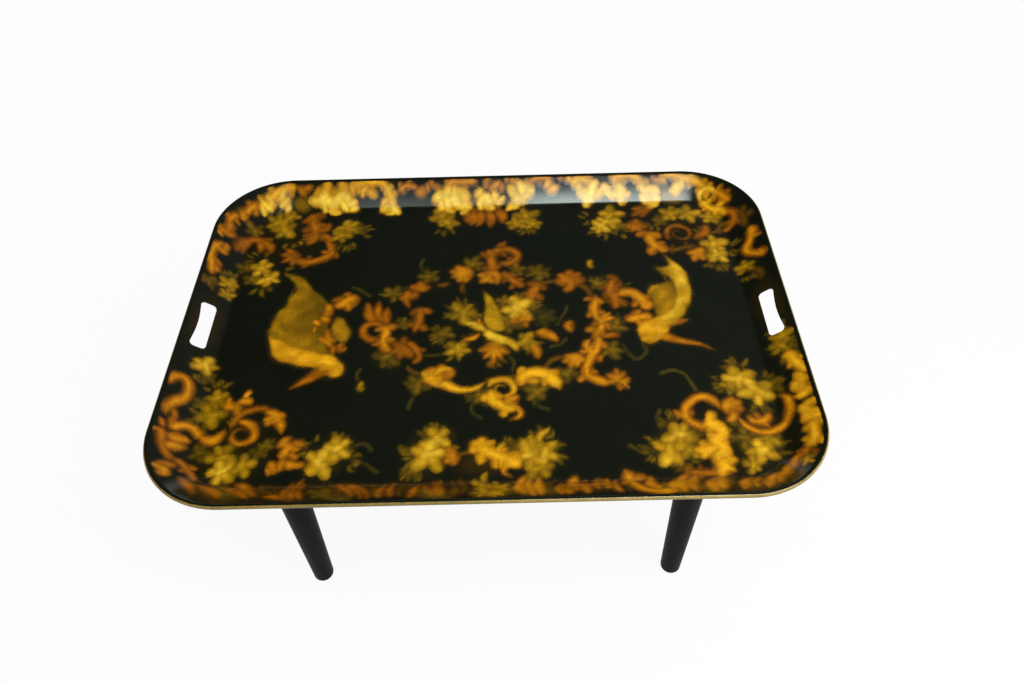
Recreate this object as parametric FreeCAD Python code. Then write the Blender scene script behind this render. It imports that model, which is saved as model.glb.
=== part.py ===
import FreeCAD
import Part
import math
import os

# Painted sheet-metal tray on a black wooden stand.
# Millimetres and degrees. The origin is on the floor under the middle of the table,
# +X runs along the tray, -Y is the front and +Z is up.

# Tray: one sheet pressed into a shallow pan, its edge rolled round a wire
table_height = 420.0
tray_length = 800.0
tray_width = 574.0
tray_depth = 31.0
tray_corner_radius = 106.5
sheet_thickness = 1.4
wall_slope = 38.0
cove_radius = 14.0
wire_diameter = 3.6
wire_clearance = 0.05
curl_sweep = 285.0

# Hand holes: one in each end wall, with a grip edge that bows into the hole
hole_length = 77.0
hole_height = 21.5
hole_rim_distance = 12.0
hole_end_radius = 6.0
hole_grip_bow = 3.0

# Stand: four legs, square where the aprons are tenoned in and turned to a round taper below
leg_inset_x = 130.0
leg_inset_y = 126.5
leg_width = 46.0
leg_edge_radius = 4.5
head_drop = 14.0
shoulder_height = 11.0
knee_step = 1.0
foot_diameter = 30.0
foot_edge_radius = 3.5
apron_height = 64.0
apron_thickness = 18.0
apron_setback = 5.0
apron_edge_radius = 2.0
tenon_thickness = 9.0
tenon_shoulder = 8.0
tenon_gap = 1.5
tenon_clearance = 0.1
tenon_end_clearance = 0.5

# Corner blocks: diagonal braces, each screwed to both aprons of its corner
block_thickness = 20.0
block_height = 40.0
block_leg_gap = 2.0
screw_head_radius = 3.8
screw_head_height = 2.6
screw_shank_radius = 1.9
screw_shank_length = 20.0
screw_point_length = 3.0
screw_slot_width = 1.0
screw_slot_depth = 1.2
screw_seat = 8.0
screw_clearance = 0.2
pilot_clearance = 0.03
pilot_end_clearance = 0.5
counterbore_clearance = 0.5

# Felt strips between the aprons and the tray
felt_thickness = 2.4
felt_width = 14.0
felt_end_margin = 10.0

# Nail-on glides under the legs
glide_radius = 6.0
glide_height = 3.0
glide_edge_radius = 0.8
nail_radius = 1.1
nail_length = 13.0
nail_point_length = 2.5
nail_clearance = 0.03
nail_end_clearance = 0.5

# Every cut runs this far past the faces that it goes through
cut_overrun = 2.0

# Levels and places that follow from the sizes above
floor_top = table_height - tray_depth
floor_underside = floor_top - sheet_thickness
stand_top = floor_underside - felt_thickness
apron_middle = stand_top - apron_height / 2
apron_bottom = stand_top - apron_height
knee_level = apron_bottom - head_drop
corner_x = tray_length / 2 - tray_corner_radius
corner_y = tray_width / 2 - tray_corner_radius
core_radius = wire_diameter / 2 + wire_clearance
bead_radius = core_radius + sheet_thickness
leg_x = tray_length / 2 - leg_inset_x
leg_y = tray_width / 2 - leg_inset_y
# From a leg's centre line out to the middle plane of the aprons beside it
apron_offset = leg_width / 2 - apron_setback - apron_thickness / 2
apron_x = leg_x + apron_offset
apron_y = leg_y + apron_offset
apron_span_x = 2 * leg_x - leg_width
apron_span_y = 2 * leg_y - leg_width
# Each tenon stops short of the one that enters the same leg from the other side
tenon_length = leg_width / 2 + apron_offset - tenon_thickness / 2 - tenon_gap
tenon_height = apron_height - 2 * tenon_shoulder
# Where a corner block meets the aprons, from the corner of their inner faces
leg_projection = leg_width - apron_setback - apron_thickness
block_near = 2 * leg_projection + block_leg_gap
block_far = block_near + block_thickness * math.sqrt(2)
block_screw_offset = (block_near + block_far) / 2

x_signs = {"left": -1, "right": 1}
y_signs = {"front": -1, "back": 1}


def vector(x, y, z):
    return FreeCAD.Vector(x, y, z)


origin = vector(0, 0, 0)
upward = vector(0, 0, 1)


def line(start, end):
    return Part.LineSegment(start, end).toShape()


def arc(start, middle, end):
    return Part.Arc(start, middle, end).toShape()


def face(edges):
    return Part.Face(Part.Wire(edges))


def centred_box(centre, size_x, size_y, size_z):
    low = centre - vector(size_x, size_y, size_z) / 2
    return Part.makeBox(size_x, size_y, size_z, low)


def rounded_rectangle(centre, size_x, size_y, radius):
    """Level wire of four straight sides and four quarter circles."""
    hub_x = size_x / 2 - radius
    hub_y = size_y / 2 - radius
    hubs = [(hub_x, hub_y), (-hub_x, hub_y), (-hub_x, -hub_y), (hub_x, -hub_y)]
    bends = []
    for quarter, (x, y) in enumerate(hubs):
        angles = [math.radians(90 * quarter + turn) for turn in (0, 45, 90)]
        spokes = [vector(math.cos(angle), math.sin(angle), 0) * radius for angle in angles]
        bends.append([centre + vector(x, y, 0) + spoke for spoke in spokes])
    edges = []
    for bend, following in zip(bends, bends[1:] + bends[:1]):
        edges.append(arc(*bend))
        edges.append(line(bend[-1], following[0]))
    return Part.Wire(edges)


def drill(shape, mouth, direction, radius, depth):
    """Round hole of the given depth below its mouth, cut from a little above the mouth."""
    start = mouth - direction * cut_overrun
    return shape.cut(Part.makeCylinder(radius, depth + cut_overrun, start, direction))


class SectionPlane:
    """Upright plane through one corner axis of the tray: r runs outward and z up."""

    def __init__(self, corner, heading):
        angle = math.radians(heading)
        self.corner = corner
        self.outward = vector(math.cos(angle), math.sin(angle), 0)

    def polar(self, hub, radius, degrees):
        angle = math.radians(degrees)
        r = hub[0] + radius * math.cos(angle)
        z = hub[1] + radius * math.sin(angle)
        return self.corner + self.outward * r + upward * z

    def arc(self, hub, radius, start, end):
        angles = (start, (start + end) / 2, end)
        return arc(*[self.polar(hub, radius, angle) for angle in angles])

    def disc(self, hub, radius):
        middle = self.polar(hub, 0, 0)
        return face([Part.Circle(middle, self.outward.cross(upward), radius).toShape()])


def bead_hub():
    """Centre of the rolled rim, as r and z in a section plane."""
    return tray_corner_radius - bead_radius, table_height - bead_radius


def cove_hub():
    """Centre of the hollow curve between the floor and the sloping wall."""
    slope = math.radians(wall_slope)
    bead_r, bead_z = bead_hub()
    cove_z = floor_top + cove_radius
    rise = (cove_z - bead_z) * math.cos(slope) - cove_radius - bead_radius
    return bead_r + rise / math.sin(slope), cove_z


def wall_section(plane):
    """Cove, sloping wall and curled rim, one sheet thick all along."""
    bead = bead_hub()
    cove = cove_hub()
    under_radius = cove_radius + sheet_thickness
    cove_end = wall_slope - 90
    curl_start = wall_slope + 90
    curl_end = curl_start - curl_sweep
    return face([
        plane.arc(cove, cove_radius, -90, cove_end),
        line(plane.polar(cove, cove_radius, cove_end), plane.polar(bead, bead_radius, curl_start)),
        plane.arc(bead, bead_radius, curl_start, curl_end),
        line(plane.polar(bead, bead_radius, curl_end), plane.polar(bead, core_radius, curl_end)),
        plane.arc(bead, core_radius, curl_end, curl_start),
        line(plane.polar(bead, core_radius, curl_start), plane.polar(cove, under_radius, cove_end)),
        plane.arc(cove, under_radius, cove_end, -90),
        line(plane.polar(cove, under_radius, -90), plane.polar(cove, cove_radius, -90)),
    ])


def wire_section(plane):
    return plane.disc(bead_hub(), wire_diameter / 2)


def carry_round_tray(section):
    """Solids of one section carried round the tray: a quarter turn and a straight run per corner."""
    signs = [(1, 1), (-1, 1), (-1, -1), (1, -1)]
    corners = [vector(sx * corner_x, sy * corner_y, 0) for sx, sy in signs]
    solids = []
    for quarter, corner in enumerate(corners):
        profile = section(SectionPlane(corner, 90 * quarter))
        solids.append(profile.revolve(corner, upward, 90))
        solids.append(profile.extrude(corners[quarter - 1] - corner))
    return solids


def hand_hole(x_sign):
    """Cutter for one hand hole: made flat, with x up the slope, then tilted on to the wall."""
    reach = sheet_thickness + 2 * cut_overrun
    base = vector(0, 0, -reach / 2)
    outline = rounded_rectangle(base, hole_height, hole_length, hole_end_radius)
    half_chord = hole_length / 2 - hole_end_radius
    bow_radius = (half_chord ** 2 + hole_grip_bow ** 2) / (2 * hole_grip_bow)
    bow_hub = base + vector(hole_height / 2 - hole_grip_bow + bow_radius, 0, 0)
    cutter = Part.Face(outline).extrude(upward * reach).cut(Part.makeCylinder(bow_radius, reach, bow_hub))
    bead_r, bead_z = bead_hub()
    below_rim = vector(-hole_rim_distance - hole_height / 2, 0, bead_radius - sheet_thickness / 2)
    cutter.translate(below_rim)
    cutter.rotate(origin, vector(0, 1, 0), -wall_slope)
    cutter.translate(vector(corner_x + bead_r, 0, bead_z))
    if x_sign < 0:
        cutter.rotate(origin, upward, 180)
    return cutter


def make_tray_pan():
    floor_radius = cove_hub()[0]
    floor_x = 2 * (corner_x + floor_radius)
    floor_y = 2 * (corner_y + floor_radius)
    outline = rounded_rectangle(upward * floor_underside, floor_x, floor_y, floor_radius)
    floor = Part.Face(outline).extrude(upward * sheet_thickness)
    pan = floor.multiFuse(carry_round_tray(wall_section)).removeSplitter()
    for x_sign in x_signs.values():
        pan = pan.cut(hand_hole(x_sign))
    return pan


def make_rim_wire():
    solids = carry_round_tray(wire_section)
    return solids[0].multiFuse(solids[1:]).removeSplitter()


def leg_head(knee, knee_radius):
    """Square block whose lower corners are turned away to meet the round taper."""
    height = stand_top - knee.z
    block = Part.Face(rounded_rectangle(knee, leg_width, leg_width, leg_edge_radius)).extrude(upward * height)
    corner_reach = leg_width / math.sqrt(2)
    outline = [knee, knee + vector(knee_radius, 0, 0), knee + vector(corner_reach, 0, shoulder_height),
               knee + vector(corner_reach, 0, height), knee + upward * height]
    turned = Part.Face(Part.makePolygon(outline + outline[:1])).revolve(knee, upward, 360)
    return block.common(turned)


def make_leg(x_sign, y_sign):
    """Leg with a square head beside the aprons, turned to a round taper below it."""
    axis = vector(x_sign * leg_x, y_sign * leg_y, 0)
    sole = axis + upward * glide_height
    knee_radius = leg_width / 2 - knee_step
    taper = Part.makeCone(foot_diameter / 2, knee_radius, knee_level - glide_height, sole)
    leg = taper.fuse(leg_head(axis + upward * knee_level, knee_radius)).removeSplitter()
    toe_edges = [edge for edge in leg.Edges if edge.BoundBox.ZMax < glide_height + foot_edge_radius]
    leg = leg.makeFillet(foot_edge_radius, toe_edges)
    depth = tenon_length + tenon_end_clearance + cut_overrun
    width = tenon_thickness + 2 * tenon_clearance
    height = tenon_height + 2 * tenon_clearance
    inward = leg_width / 2 + cut_overrun - depth / 2
    centre = axis + upward * apron_middle
    along_x = centre + vector(-x_sign * inward, y_sign * apron_offset, 0)
    along_y = centre + vector(x_sign * apron_offset, -y_sign * inward, 0)
    leg = leg.cut(centred_box(along_x, depth, width, height))
    leg = leg.cut(centred_box(along_y, width, depth, height))
    return drill(leg, sole, upward, nail_radius + nail_clearance, nail_length + nail_end_clearance)


def screw_places():
    """Seat of each corner screw's head, and the way the screw points."""
    places = []
    for x_sign in x_signs.values():
        for y_sign in y_signs.values():
            corner = apron_corner(x_sign, y_sign) + upward * apron_middle
            seat = vector(-x_sign * screw_seat, -y_sign * block_screw_offset, 0)
            places.append((corner + seat, vector(x_sign, 0, 0)))
            seat = vector(-x_sign * block_screw_offset, -y_sign * screw_seat, 0)
            places.append((corner + seat, vector(0, y_sign, 0)))
    return places


def apron_corner(x_sign, y_sign):
    """Where the inner faces of two neighbouring aprons would meet, in plan."""
    half = apron_thickness / 2
    return vector(x_sign * (apron_x - half), y_sign * (apron_y - half), 0)


def make_apron(span, turn, place):
    """Rail with rounded lower edges, a tenon at each end and pilot holes for its screws."""
    rail = centred_box(origin, span, apron_thickness, apron_height)
    lower = [edge for edge in rail.Edges if edge.BoundBox.ZMax < 0 and edge.BoundBox.XLength > span / 2]
    rail = rail.makeFillet(apron_edge_radius, lower)
    tongue = centred_box(origin, span + 2 * tenon_length, tenon_thickness, tenon_height)
    apron = rail.fuse(tongue).removeSplitter()
    apron.rotate(origin, upward, turn)
    apron.translate(place + upward * apron_middle)
    depth = screw_shank_length + pilot_end_clearance
    for seat, direction in screw_places():
        apron = drill(apron, seat, direction, screw_shank_radius + pilot_clearance, depth)
    return apron


def make_corner_block(x_sign, y_sign):
    """Diagonal brace across one corner, with a sunk seat for each screw head."""
    corner = apron_corner(x_sign, y_sign) + upward * (apron_middle - block_height / 2)
    along_x = vector(-x_sign, 0, 0)
    along_y = vector(0, -y_sign, 0)
    points = [corner + along_x * block_near, corner + along_x * block_far,
              corner + along_y * block_far, corner + along_y * block_near]
    block = Part.Face(Part.makePolygon(points + points[:1])).extrude(upward * block_height)
    for seat, direction in screw_places():
        block = drill(block, seat, direction, screw_shank_radius + screw_clearance, screw_shank_length)
        block = drill(block, seat - direction * block_thickness, direction,
                      screw_head_radius + counterbore_clearance, block_thickness)
    return block


def make_screw(seat, direction):
    """Slotted round-head wood screw, one solid."""
    shank_end = screw_point_length - screw_shank_length
    outline = [vector(0, 0, screw_head_height), vector(screw_head_radius, 0, screw_head_height),
               vector(screw_head_radius, 0, 0), vector(screw_shank_radius, 0, 0),
               vector(screw_shank_radius, 0, shank_end), vector(0, 0, -screw_shank_length)]
    screw = Part.Face(Part.makePolygon(outline + outline[:1])).revolve(origin, upward, 360)
    slot_middle = upward * (screw_head_height - screw_slot_depth / 2 + cut_overrun / 2)
    slot_length = 2 * (screw_head_radius + cut_overrun)
    slot = centred_box(slot_middle, slot_length, screw_slot_width, screw_slot_depth + cut_overrun)
    screw = screw.cut(slot)
    screw.Placement = FreeCAD.Placement(seat, FreeCAD.Rotation(-upward, direction))
    return screw


def make_felt_strip(span, turn, place):
    length = span - 2 * felt_end_margin
    strip = centred_box(origin, length, felt_width, felt_thickness)
    strip.rotate(origin, upward, turn)
    strip.translate(place + upward * (stand_top + felt_thickness / 2))
    return strip


def make_foot_glide(x_sign, y_sign):
    """Flat round glide with its edge eased, and the nail that holds it in the leg."""
    flat_radius = glide_radius - glide_edge_radius
    eased = glide_edge_radius * (1 - math.sqrt(0.5))
    nail_neck = glide_height + nail_length - nail_point_length
    rise = [vector(glide_radius, 0, glide_edge_radius), vector(glide_radius, 0, glide_height),
            vector(nail_radius, 0, glide_height), vector(nail_radius, 0, nail_neck),
            vector(0, 0, glide_height + nail_length), origin, vector(flat_radius, 0, 0)]
    edge = arc(rise[-1], vector(glide_radius - eased, 0, eased), rise[0])
    outline = [edge] + [line(start, end) for start, end in zip(rise, rise[1:])]
    glide = face(outline).revolve(origin, upward, 360)
    glide.translate(vector(x_sign * leg_x, y_sign * leg_y, 0))
    return glide


def build_nodes():
    nodes = {"tray_pan": make_tray_pan(), "rim_wire": make_rim_wire()}
    rails = {name: (apron_span_x, 0, vector(0, y_sign * apron_y, 0)) for name, y_sign in y_signs.items()}
    for name, x_sign in x_signs.items():
        rails[name] = (apron_span_y, 90, vector(x_sign * apron_x, 0, 0))
    for name, (span, turn, place) in rails.items():
        nodes["apron_" + name] = make_apron(span, turn, place)
        nodes["felt_strip_" + name] = make_felt_strip(span, turn, place)
    for y_name, y_sign in y_signs.items():
        for x_name, x_sign in x_signs.items():
            corner = y_name + "_" + x_name
            nodes["leg_" + corner] = make_leg(x_sign, y_sign)
            nodes["corner_block_" + corner] = make_corner_block(x_sign, y_sign)
            nodes["foot_glide_" + corner] = make_foot_glide(x_sign, y_sign)
    screws = [make_screw(seat, direction) for seat, direction in screw_places()]
    nodes["corner_block_screws"] = Part.makeCompound(screws)
    return nodes


os.makedirs("parts", exist_ok=True)
for node_name, shape in build_nodes().items():
    shape.exportStep("parts/" + node_name + ".step")
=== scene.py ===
"""Looks of the tray table: a painted sheet-iron tray with gold scrollwork on a black wooden stand."""

import math

import bmesh
import bpy
import numpy as np
from mathutils import Matrix, Vector


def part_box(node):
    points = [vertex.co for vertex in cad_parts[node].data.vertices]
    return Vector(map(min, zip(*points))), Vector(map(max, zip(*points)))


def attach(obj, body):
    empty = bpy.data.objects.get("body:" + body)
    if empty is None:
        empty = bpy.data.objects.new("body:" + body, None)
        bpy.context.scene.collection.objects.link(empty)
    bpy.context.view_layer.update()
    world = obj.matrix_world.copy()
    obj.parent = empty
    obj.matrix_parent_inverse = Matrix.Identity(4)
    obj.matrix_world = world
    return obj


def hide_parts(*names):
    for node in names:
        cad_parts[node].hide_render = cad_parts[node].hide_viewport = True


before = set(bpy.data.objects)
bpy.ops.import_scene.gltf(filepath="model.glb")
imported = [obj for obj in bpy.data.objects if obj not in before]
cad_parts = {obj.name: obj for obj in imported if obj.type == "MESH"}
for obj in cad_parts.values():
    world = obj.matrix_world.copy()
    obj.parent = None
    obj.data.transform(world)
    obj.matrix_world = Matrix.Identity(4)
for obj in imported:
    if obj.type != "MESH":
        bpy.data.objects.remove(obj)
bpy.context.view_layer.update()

MM = 0.001

# The tray's sheet, in millimetres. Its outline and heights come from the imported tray.
tray_low, tray_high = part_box("tray_pan")
half_length = tray_high.x / MM
half_width = tray_high.y / MM
rim_top = tray_high.z / MM
floor_underside = tray_low.z / MM
corner_radius = 106.5
sheet_thickness = 1.4
wall_slope = math.radians(38)
cove_radius = 14.0
bead_core_radius = 1.85
curl_sweep = math.radians(285)
hole_length = 77.0
hole_height = 21.5
hole_rim_distance = 12.0
hole_end_radius = 6.0
hole_grip_bow = 3.0

floor_top = floor_underside + sheet_thickness
hub_x = half_length - corner_radius
hub_y = half_width - corner_radius
bead_radius = bead_core_radius + sheet_thickness
bead_hub_reach = corner_radius - bead_radius
bead_hub_height = rim_top - bead_radius
cove_hub_height = floor_top + cove_radius
wall_run = math.cos(wall_slope)
wall_rise = math.sin(wall_slope)
hub_drop = bead_hub_height - cove_hub_height
cove_hub_reach = bead_hub_reach - (wall_run * hub_drop + bead_radius + cove_radius) / wall_rise

# How finely the tray's mesh is divided: it carries the painting, so its upper face is fine. The two faces of
# the sheet are given their steps along the floor, the cove, the wall and the curled rim.
length_steps = 212
width_steps = 128
corner_steps = 42
upper_steps = (21, 5, 17, 18)
lower_steps = (4, 4, 8, 9)

# How far the hole cutters stand out of the wall, and how far off true round the rim's faces may lie.
cutter_reach = 6.0
bead_play = 0.4

# The paint fades out between these distances from the rim's middle line. The gilding lies between two angles
# about that line, in degrees up from straight outward, and is full between two others.
bare_margin = (1.5, 4.5)
gilt_low, gilt_high = -100, 95
gilt_full_low, gilt_full_high = -60, 50
gilt_strength = 0.72

# The map that colours are baked through has a bare edge, and a strip of its height for each kind of face.
map_edge = 0.005
map_width = 1 - 2 * map_edge
painted_strip = (0.285, 0.995)
underside_strip = (0.08, 0.275)
rim_strip = (0.005, 0.035)
curl_strip = (0.04, 0.055)
hole_strip = (0.06, 0.07)

# Camera, as it was fitted to the photograph's frame.
image_width_px = 1024
focal_px = 840.3
camera_place = Vector((0.03666, -0.75977, 1.22286))
camera_pitch = math.radians(48.738)
camera_roll = math.radians(-1.585)
camera_yaw = math.radians(-0.321)

# Room, floor and lamps, in metres; the two softboxes hang side by side and are mirrored in the far wall.
white = (1, 1, 1, 1)
ambient_strength = 0.55
ceiling_left, ceiling_right = 0.02, 0.14
ceiling_spread = 0.35
seen_wall_top, seen_wall_end = math.radians(21), math.radians(33)
mirrored_wall_end = math.radians(7)
floor_reach = 40.0
shadow_reach, fade_reach = 0.7, 4.0
shadow_whiteness = 0.92
key_place, key_target = (1.1, -0.9, 2.0), (0.1, 0, 0.4)
key_size, key_power = (1.2, 1.0), 20
softbox_y = -0.9075
softbox_height = 2.5
softbox_lean = 0.05
softbox_depth = 0.385
softbox_tint = (0.86, 1.0, 0.95)


def srgb(red, green, blue):
    """A colour as it looks on screen, 0 to 255, turned into the linear values that shaders use."""
    shares = np.array((red, green, blue)) / 255
    return np.where(shares <= 0.04045, shares / 12.92, ((shares + 0.055) / 1.055) ** 2.4)


def tint(shadow, body, light):
    """Three shades of one paint: its shaded edge, its body and its lit edge."""
    return np.array((srgb(*shadow), srgb(*body), srgb(*light)))


AMBER = tint((60, 37, 2), (152, 88, 2), (212, 136, 7))
DEEP_AMBER = tint((46, 27, 2), (120, 66, 2), (172, 98, 4))
BROWN = tint((32, 23, 3), (70, 46, 4), (102, 66, 6))
GOLD = tint((82, 55, 3), (194, 130, 7), (234, 170, 22))
YELLOW = tint((62, 48, 3), (178, 130, 10), (234, 185, 46))
OLD_YELLOW = tint((52, 42, 2), (142, 104, 4), (190, 140, 12))
# Paler gold for half the far wall's height: partly the wall's own paint, partly a painted reflection of the
# lamps mirrored there.
PALE_GOLD_AND_SHEEN = tint((122, 82, 8), (222, 164, 28), (248, 212, 74))
BIRD = tint((58, 42, 2), (124, 90, 3), (180, 126, 6))
OLIVE = tint((36, 30, 4), (88, 66, 5), (130, 97, 9))
DIM_OLIVE = tint((26, 26, 8), (54, 47, 8), (82, 70, 12))
# The rim's gilding; its darkest shade serves as painted shade on the rim's underside.
KHAKI = tint((78, 64, 26), (142, 118, 58), (182, 156, 90))


# Tray mesh

def profile_arc(hub, radius, start, sweep, steps):
    """Points on an arc of the wall's section, as reach and height."""
    angles = start + sweep * np.linspace(0, 1, steps + 1)
    return np.column_stack((hub[0] + radius * np.cos(angles), hub[1] + radius * np.sin(angles)))


def straight(start, end, steps):
    """Evenly spaced points from start to end."""
    start, end = np.array(start, float), np.array(end, float)
    return start + (end - start) * np.linspace(0, 1, steps + 1)[:, None]


def section(floor_height, cove_arc_radius, curl_radius, floor_steps, cove_steps, wall_steps, curl_steps):
    """One face of the sheet in section: along the floor, up the wall and round the curled rim."""
    cove_hub, bead_hub = (cove_hub_reach, cove_hub_height), (bead_hub_reach, bead_hub_height)
    cove = profile_arc(cove_hub, cove_arc_radius, -math.pi / 2, wall_slope, cove_steps)
    curl = profile_arc(bead_hub, curl_radius, math.pi / 2 + wall_slope, -curl_sweep, curl_steps)
    floor = straight((0, floor_height), cove[0], floor_steps)
    wall = straight(cove[-1], curl[0], wall_steps)
    return np.vstack((floor, cove[1:], wall[1:], curl[1:]))


upper_section = section(floor_top, cove_radius, bead_radius, *upper_steps)
lower_section = section(floor_underside, cove_radius + sheet_thickness, bead_core_radius, *lower_steps)


def stations():
    """Places round the tray: the point each wall section is measured from, and its outward direction."""
    hubs, outward = [], []
    sides = (
        ((hub_x, -hub_y), (hub_x, hub_y), 0.0, width_steps),
        ((hub_x, hub_y), (-hub_x, hub_y), math.pi / 2, length_steps),
        ((-hub_x, hub_y), (-hub_x, -hub_y), math.pi, width_steps),
        ((-hub_x, -hub_y), (hub_x, -hub_y), 3 * math.pi / 2, length_steps),
    )
    for start, end, angle, steps in sides:
        shares = np.linspace(0, 1, steps, endpoint=False)[:, None]
        hubs.append(np.array(start) + (np.array(end) - np.array(start)) * shares)
        outward.append(np.full(steps, angle))
        hubs.append(np.tile(np.array(end, float), (corner_steps, 1)))
        outward.append(angle + math.pi / 2 * np.linspace(0, 1, corner_steps, endpoint=False))
    angles = np.concatenate(outward)
    return np.vstack(hubs), np.column_stack((np.cos(angles), np.sin(angles)))


def side_grid_index(step):
    """For each station, the place of its hub in the middle rectangle's grid of points."""
    columns, rows, corners = length_steps // step, width_steps // step, corner_steps // step
    route = [(columns, j) for j in range(rows)] + [(columns, rows)] * corners
    route += [(columns - i, rows) for i in range(columns)] + [(0, rows)] * corners
    route += [(0, rows - j) for j in range(rows)] + [(0, 0)] * corners
    route += [(i, 0) for i in range(columns)] + [(columns, 0)] * corners
    return [i * (rows + 1) + j for i, j in route], columns, rows


class TrayMesh:
    """Points and faces of the tray, gathered face by face."""

    def __init__(self):
        self.points = []
        self.faces = []
        self.hubs, self.outward = stations()

    def add_points(self, points):
        """Adds points and returns the number of the first."""
        first = len(self.points)
        self.points.extend(map(tuple, points))
        return first

    def middle(self, height, step, upward):
        """The flat rectangle between the corner hubs, returned as the first ring's point numbers."""
        ring, columns, rows = side_grid_index(step)
        grid_x, grid_y = np.meshgrid(
            np.linspace(-hub_x, hub_x, columns + 1), np.linspace(-hub_y, hub_y, rows + 1), indexing="ij"
        )
        grid = np.column_stack((grid_x.ravel(), grid_y.ravel(), np.full(grid_x.size, height)))
        first = self.add_points(grid)
        for i in range(columns):
            for j in range(rows):
                corner = first + i * (rows + 1) + j
                face = (corner, corner + rows + 1, corner + rows + 2, corner + 1)
                self.faces.append(face if upward else face[::-1])
        return [first + k for k in ring]

    def ring(self, reach, height, step):
        """One ring of points round the tray."""
        plan = self.hubs[::step] + reach * self.outward[::step]
        first = self.add_points(np.column_stack((plan, np.full(len(plan), height))))
        return list(range(first, first + len(plan)))

    def band(self, inner, outer):
        """Faces between two rings; a coarse outer ring takes two steps of a fine inner one."""
        ratio = len(inner) // len(outer)
        count = len(outer)
        for k in range(count):
            near = [inner[(ratio * k + n) % len(inner)] for n in range(ratio + 1)]
            face = near[::-1] + [outer[k], outer[(k + 1) % count]]
            kept = [p for n, p in enumerate(face) if p != face[n - 1]]
            self.faces.append(tuple(kept))


def finished_object(mesh, name):
    """A bmesh turned into a linked object."""
    data = bpy.data.meshes.new(name)
    mesh.to_mesh(data)
    mesh.free()
    made = bpy.data.objects.new(name, data)
    bpy.context.scene.collection.objects.link(made)
    return made


def hole_outline():
    """The hand hole's outline as distance along the tray's end and distance down the wall from the bead."""
    near, far = hole_rim_distance, hole_rim_distance + hole_height
    half = hole_length / 2
    corner = np.linspace(0, math.pi / 2, 8)
    flat = half - hole_end_radius
    across = np.linspace(-flat, flat, 25)
    grip = np.column_stack((across, near + hole_grip_bow * np.cos(across / flat * math.pi / 2)))
    right_near = np.column_stack((np.sin(corner), 1 - np.cos(corner))) * hole_end_radius + (flat, near)
    right_far = np.column_stack((np.cos(corner), np.sin(corner) - 1)) * hole_end_radius + (flat, far)
    right = np.vstack((right_near[1:], right_far))
    left = right[::-1] * (-1, 1)
    return np.vstack((grip, right, left))


def hole_cutter(side):
    """A prism square to the end wall, which cuts one hand hole."""
    top_x = hub_x + bead_hub_reach - bead_radius * wall_rise
    top_z = bead_hub_height + bead_radius * wall_run
    outline = hole_outline()
    mesh = bmesh.new()
    layers = []
    for lift in (-cutter_reach, cutter_reach):
        loop = []
        for along, down in outline:
            x = top_x - down * wall_run - lift * wall_rise
            z = top_z - down * wall_rise + lift * wall_run
            loop.append(mesh.verts.new((side * x * MM, along * MM, z * MM)))
        layers.append(loop)
        mesh.faces.new(loop)
    near, far = layers
    for k in range(len(outline)):
        mesh.faces.new((near[k - 1], near[k], far[k], far[k - 1]))
    bmesh.ops.recalc_face_normals(mesh, faces=mesh.faces)
    return finished_object(mesh, "hole_cutter")


def cut_hole(tray, side):
    """Cuts one hand hole and keeps the result as the tray's own mesh."""
    cutter = hole_cutter(side)
    cut = tray.modifiers.new("hand_hole", "BOOLEAN")
    cut.operation = "DIFFERENCE"
    cut.solver = "EXACT"
    cut.object = cutter
    depsgraph = bpy.context.evaluated_depsgraph_get()
    result = bpy.data.meshes.new_from_object(tray.evaluated_get(depsgraph))
    tray.modifiers.remove(cut)
    spare, tray.data = tray.data, result
    bpy.data.meshes.remove(spare)
    bpy.data.meshes.remove(cutter.data)
    result.name = "painted_tray"


def make_tray():
    """The tray's sheet as one closed mesh, with its hand holes cut."""
    sheet = TrayMesh()
    ring = sheet.middle(floor_top, 1, True)
    for face_section, step in ((upper_section[1:], 1), (lower_section[:0:-1], 2)):
        for reach, height in face_section:
            outer = sheet.ring(reach, height, step)
            sheet.band(ring, outer)
            ring = outer
    sheet.band(ring, sheet.middle(floor_underside, 2, False))
    data = bpy.data.meshes.new("painted_tray")
    data.from_pydata([(x * MM, y * MM, z * MM) for x, y, z in sheet.points], [], sheet.faces)
    data.validate()
    tray = bpy.data.objects.new("painted_tray", data)
    bpy.context.scene.collection.objects.link(tray)
    for side in (1, -1):
        cut_hole(tray, side)
    tray.data.shade_smooth()
    tray.data.set_sharp_from_angle(angle=math.radians(40))
    return tray


# Painting: brush strokes laid on the tray's points, seen from above, in millimetres

def smooth_line(points, steps=9):
    """A smooth line through given points."""
    points = np.asarray(points, float)
    ends = np.vstack((2 * points[0] - points[1], points, 2 * points[-1] - points[-2]))
    shares = np.linspace(0, 1, steps, endpoint=False)[:, None]
    runs = []
    for a, b, c, d in zip(ends, ends[1:], ends[2:], ends[3:]):
        curve = 2 * b + (c - a) * shares + (2 * a - 5 * b + 4 * c - d) * shares**2
        runs.append((curve + (3 * b - a - 3 * c + d) * shares**3) / 2)
    return np.vstack((*runs, points[-1:]))


def ramp(values, low, high):
    """0 below low, 1 above high, smooth between."""
    share = np.clip((values - low) / (high - low), 0, 1)
    return share * share * (3 - 2 * share)


def shade(paint, tone):
    """A paint's colour where it lies thin, at tone 0, to thick, at tone 1."""
    tone = 2 * np.clip(tone, 0, 1)[:, None]
    thin = paint[0] + (paint[1] - paint[0]) * np.minimum(tone, 1)
    return thin + (paint[2] - paint[1]) * np.maximum(tone - 1, 0)


def leaf_swell(share):
    """Pointed at both ends, widest just before the middle."""
    return np.sin(math.pi * np.clip(share, 0, 1) ** 0.85) ** 0.6


def comma_swell(share):
    """Blunt at the start, drawn out to a point."""
    return np.clip(1 - share, 0, 1) ** 0.6 * np.minimum(1, 0.6 + 3 * share)


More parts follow.
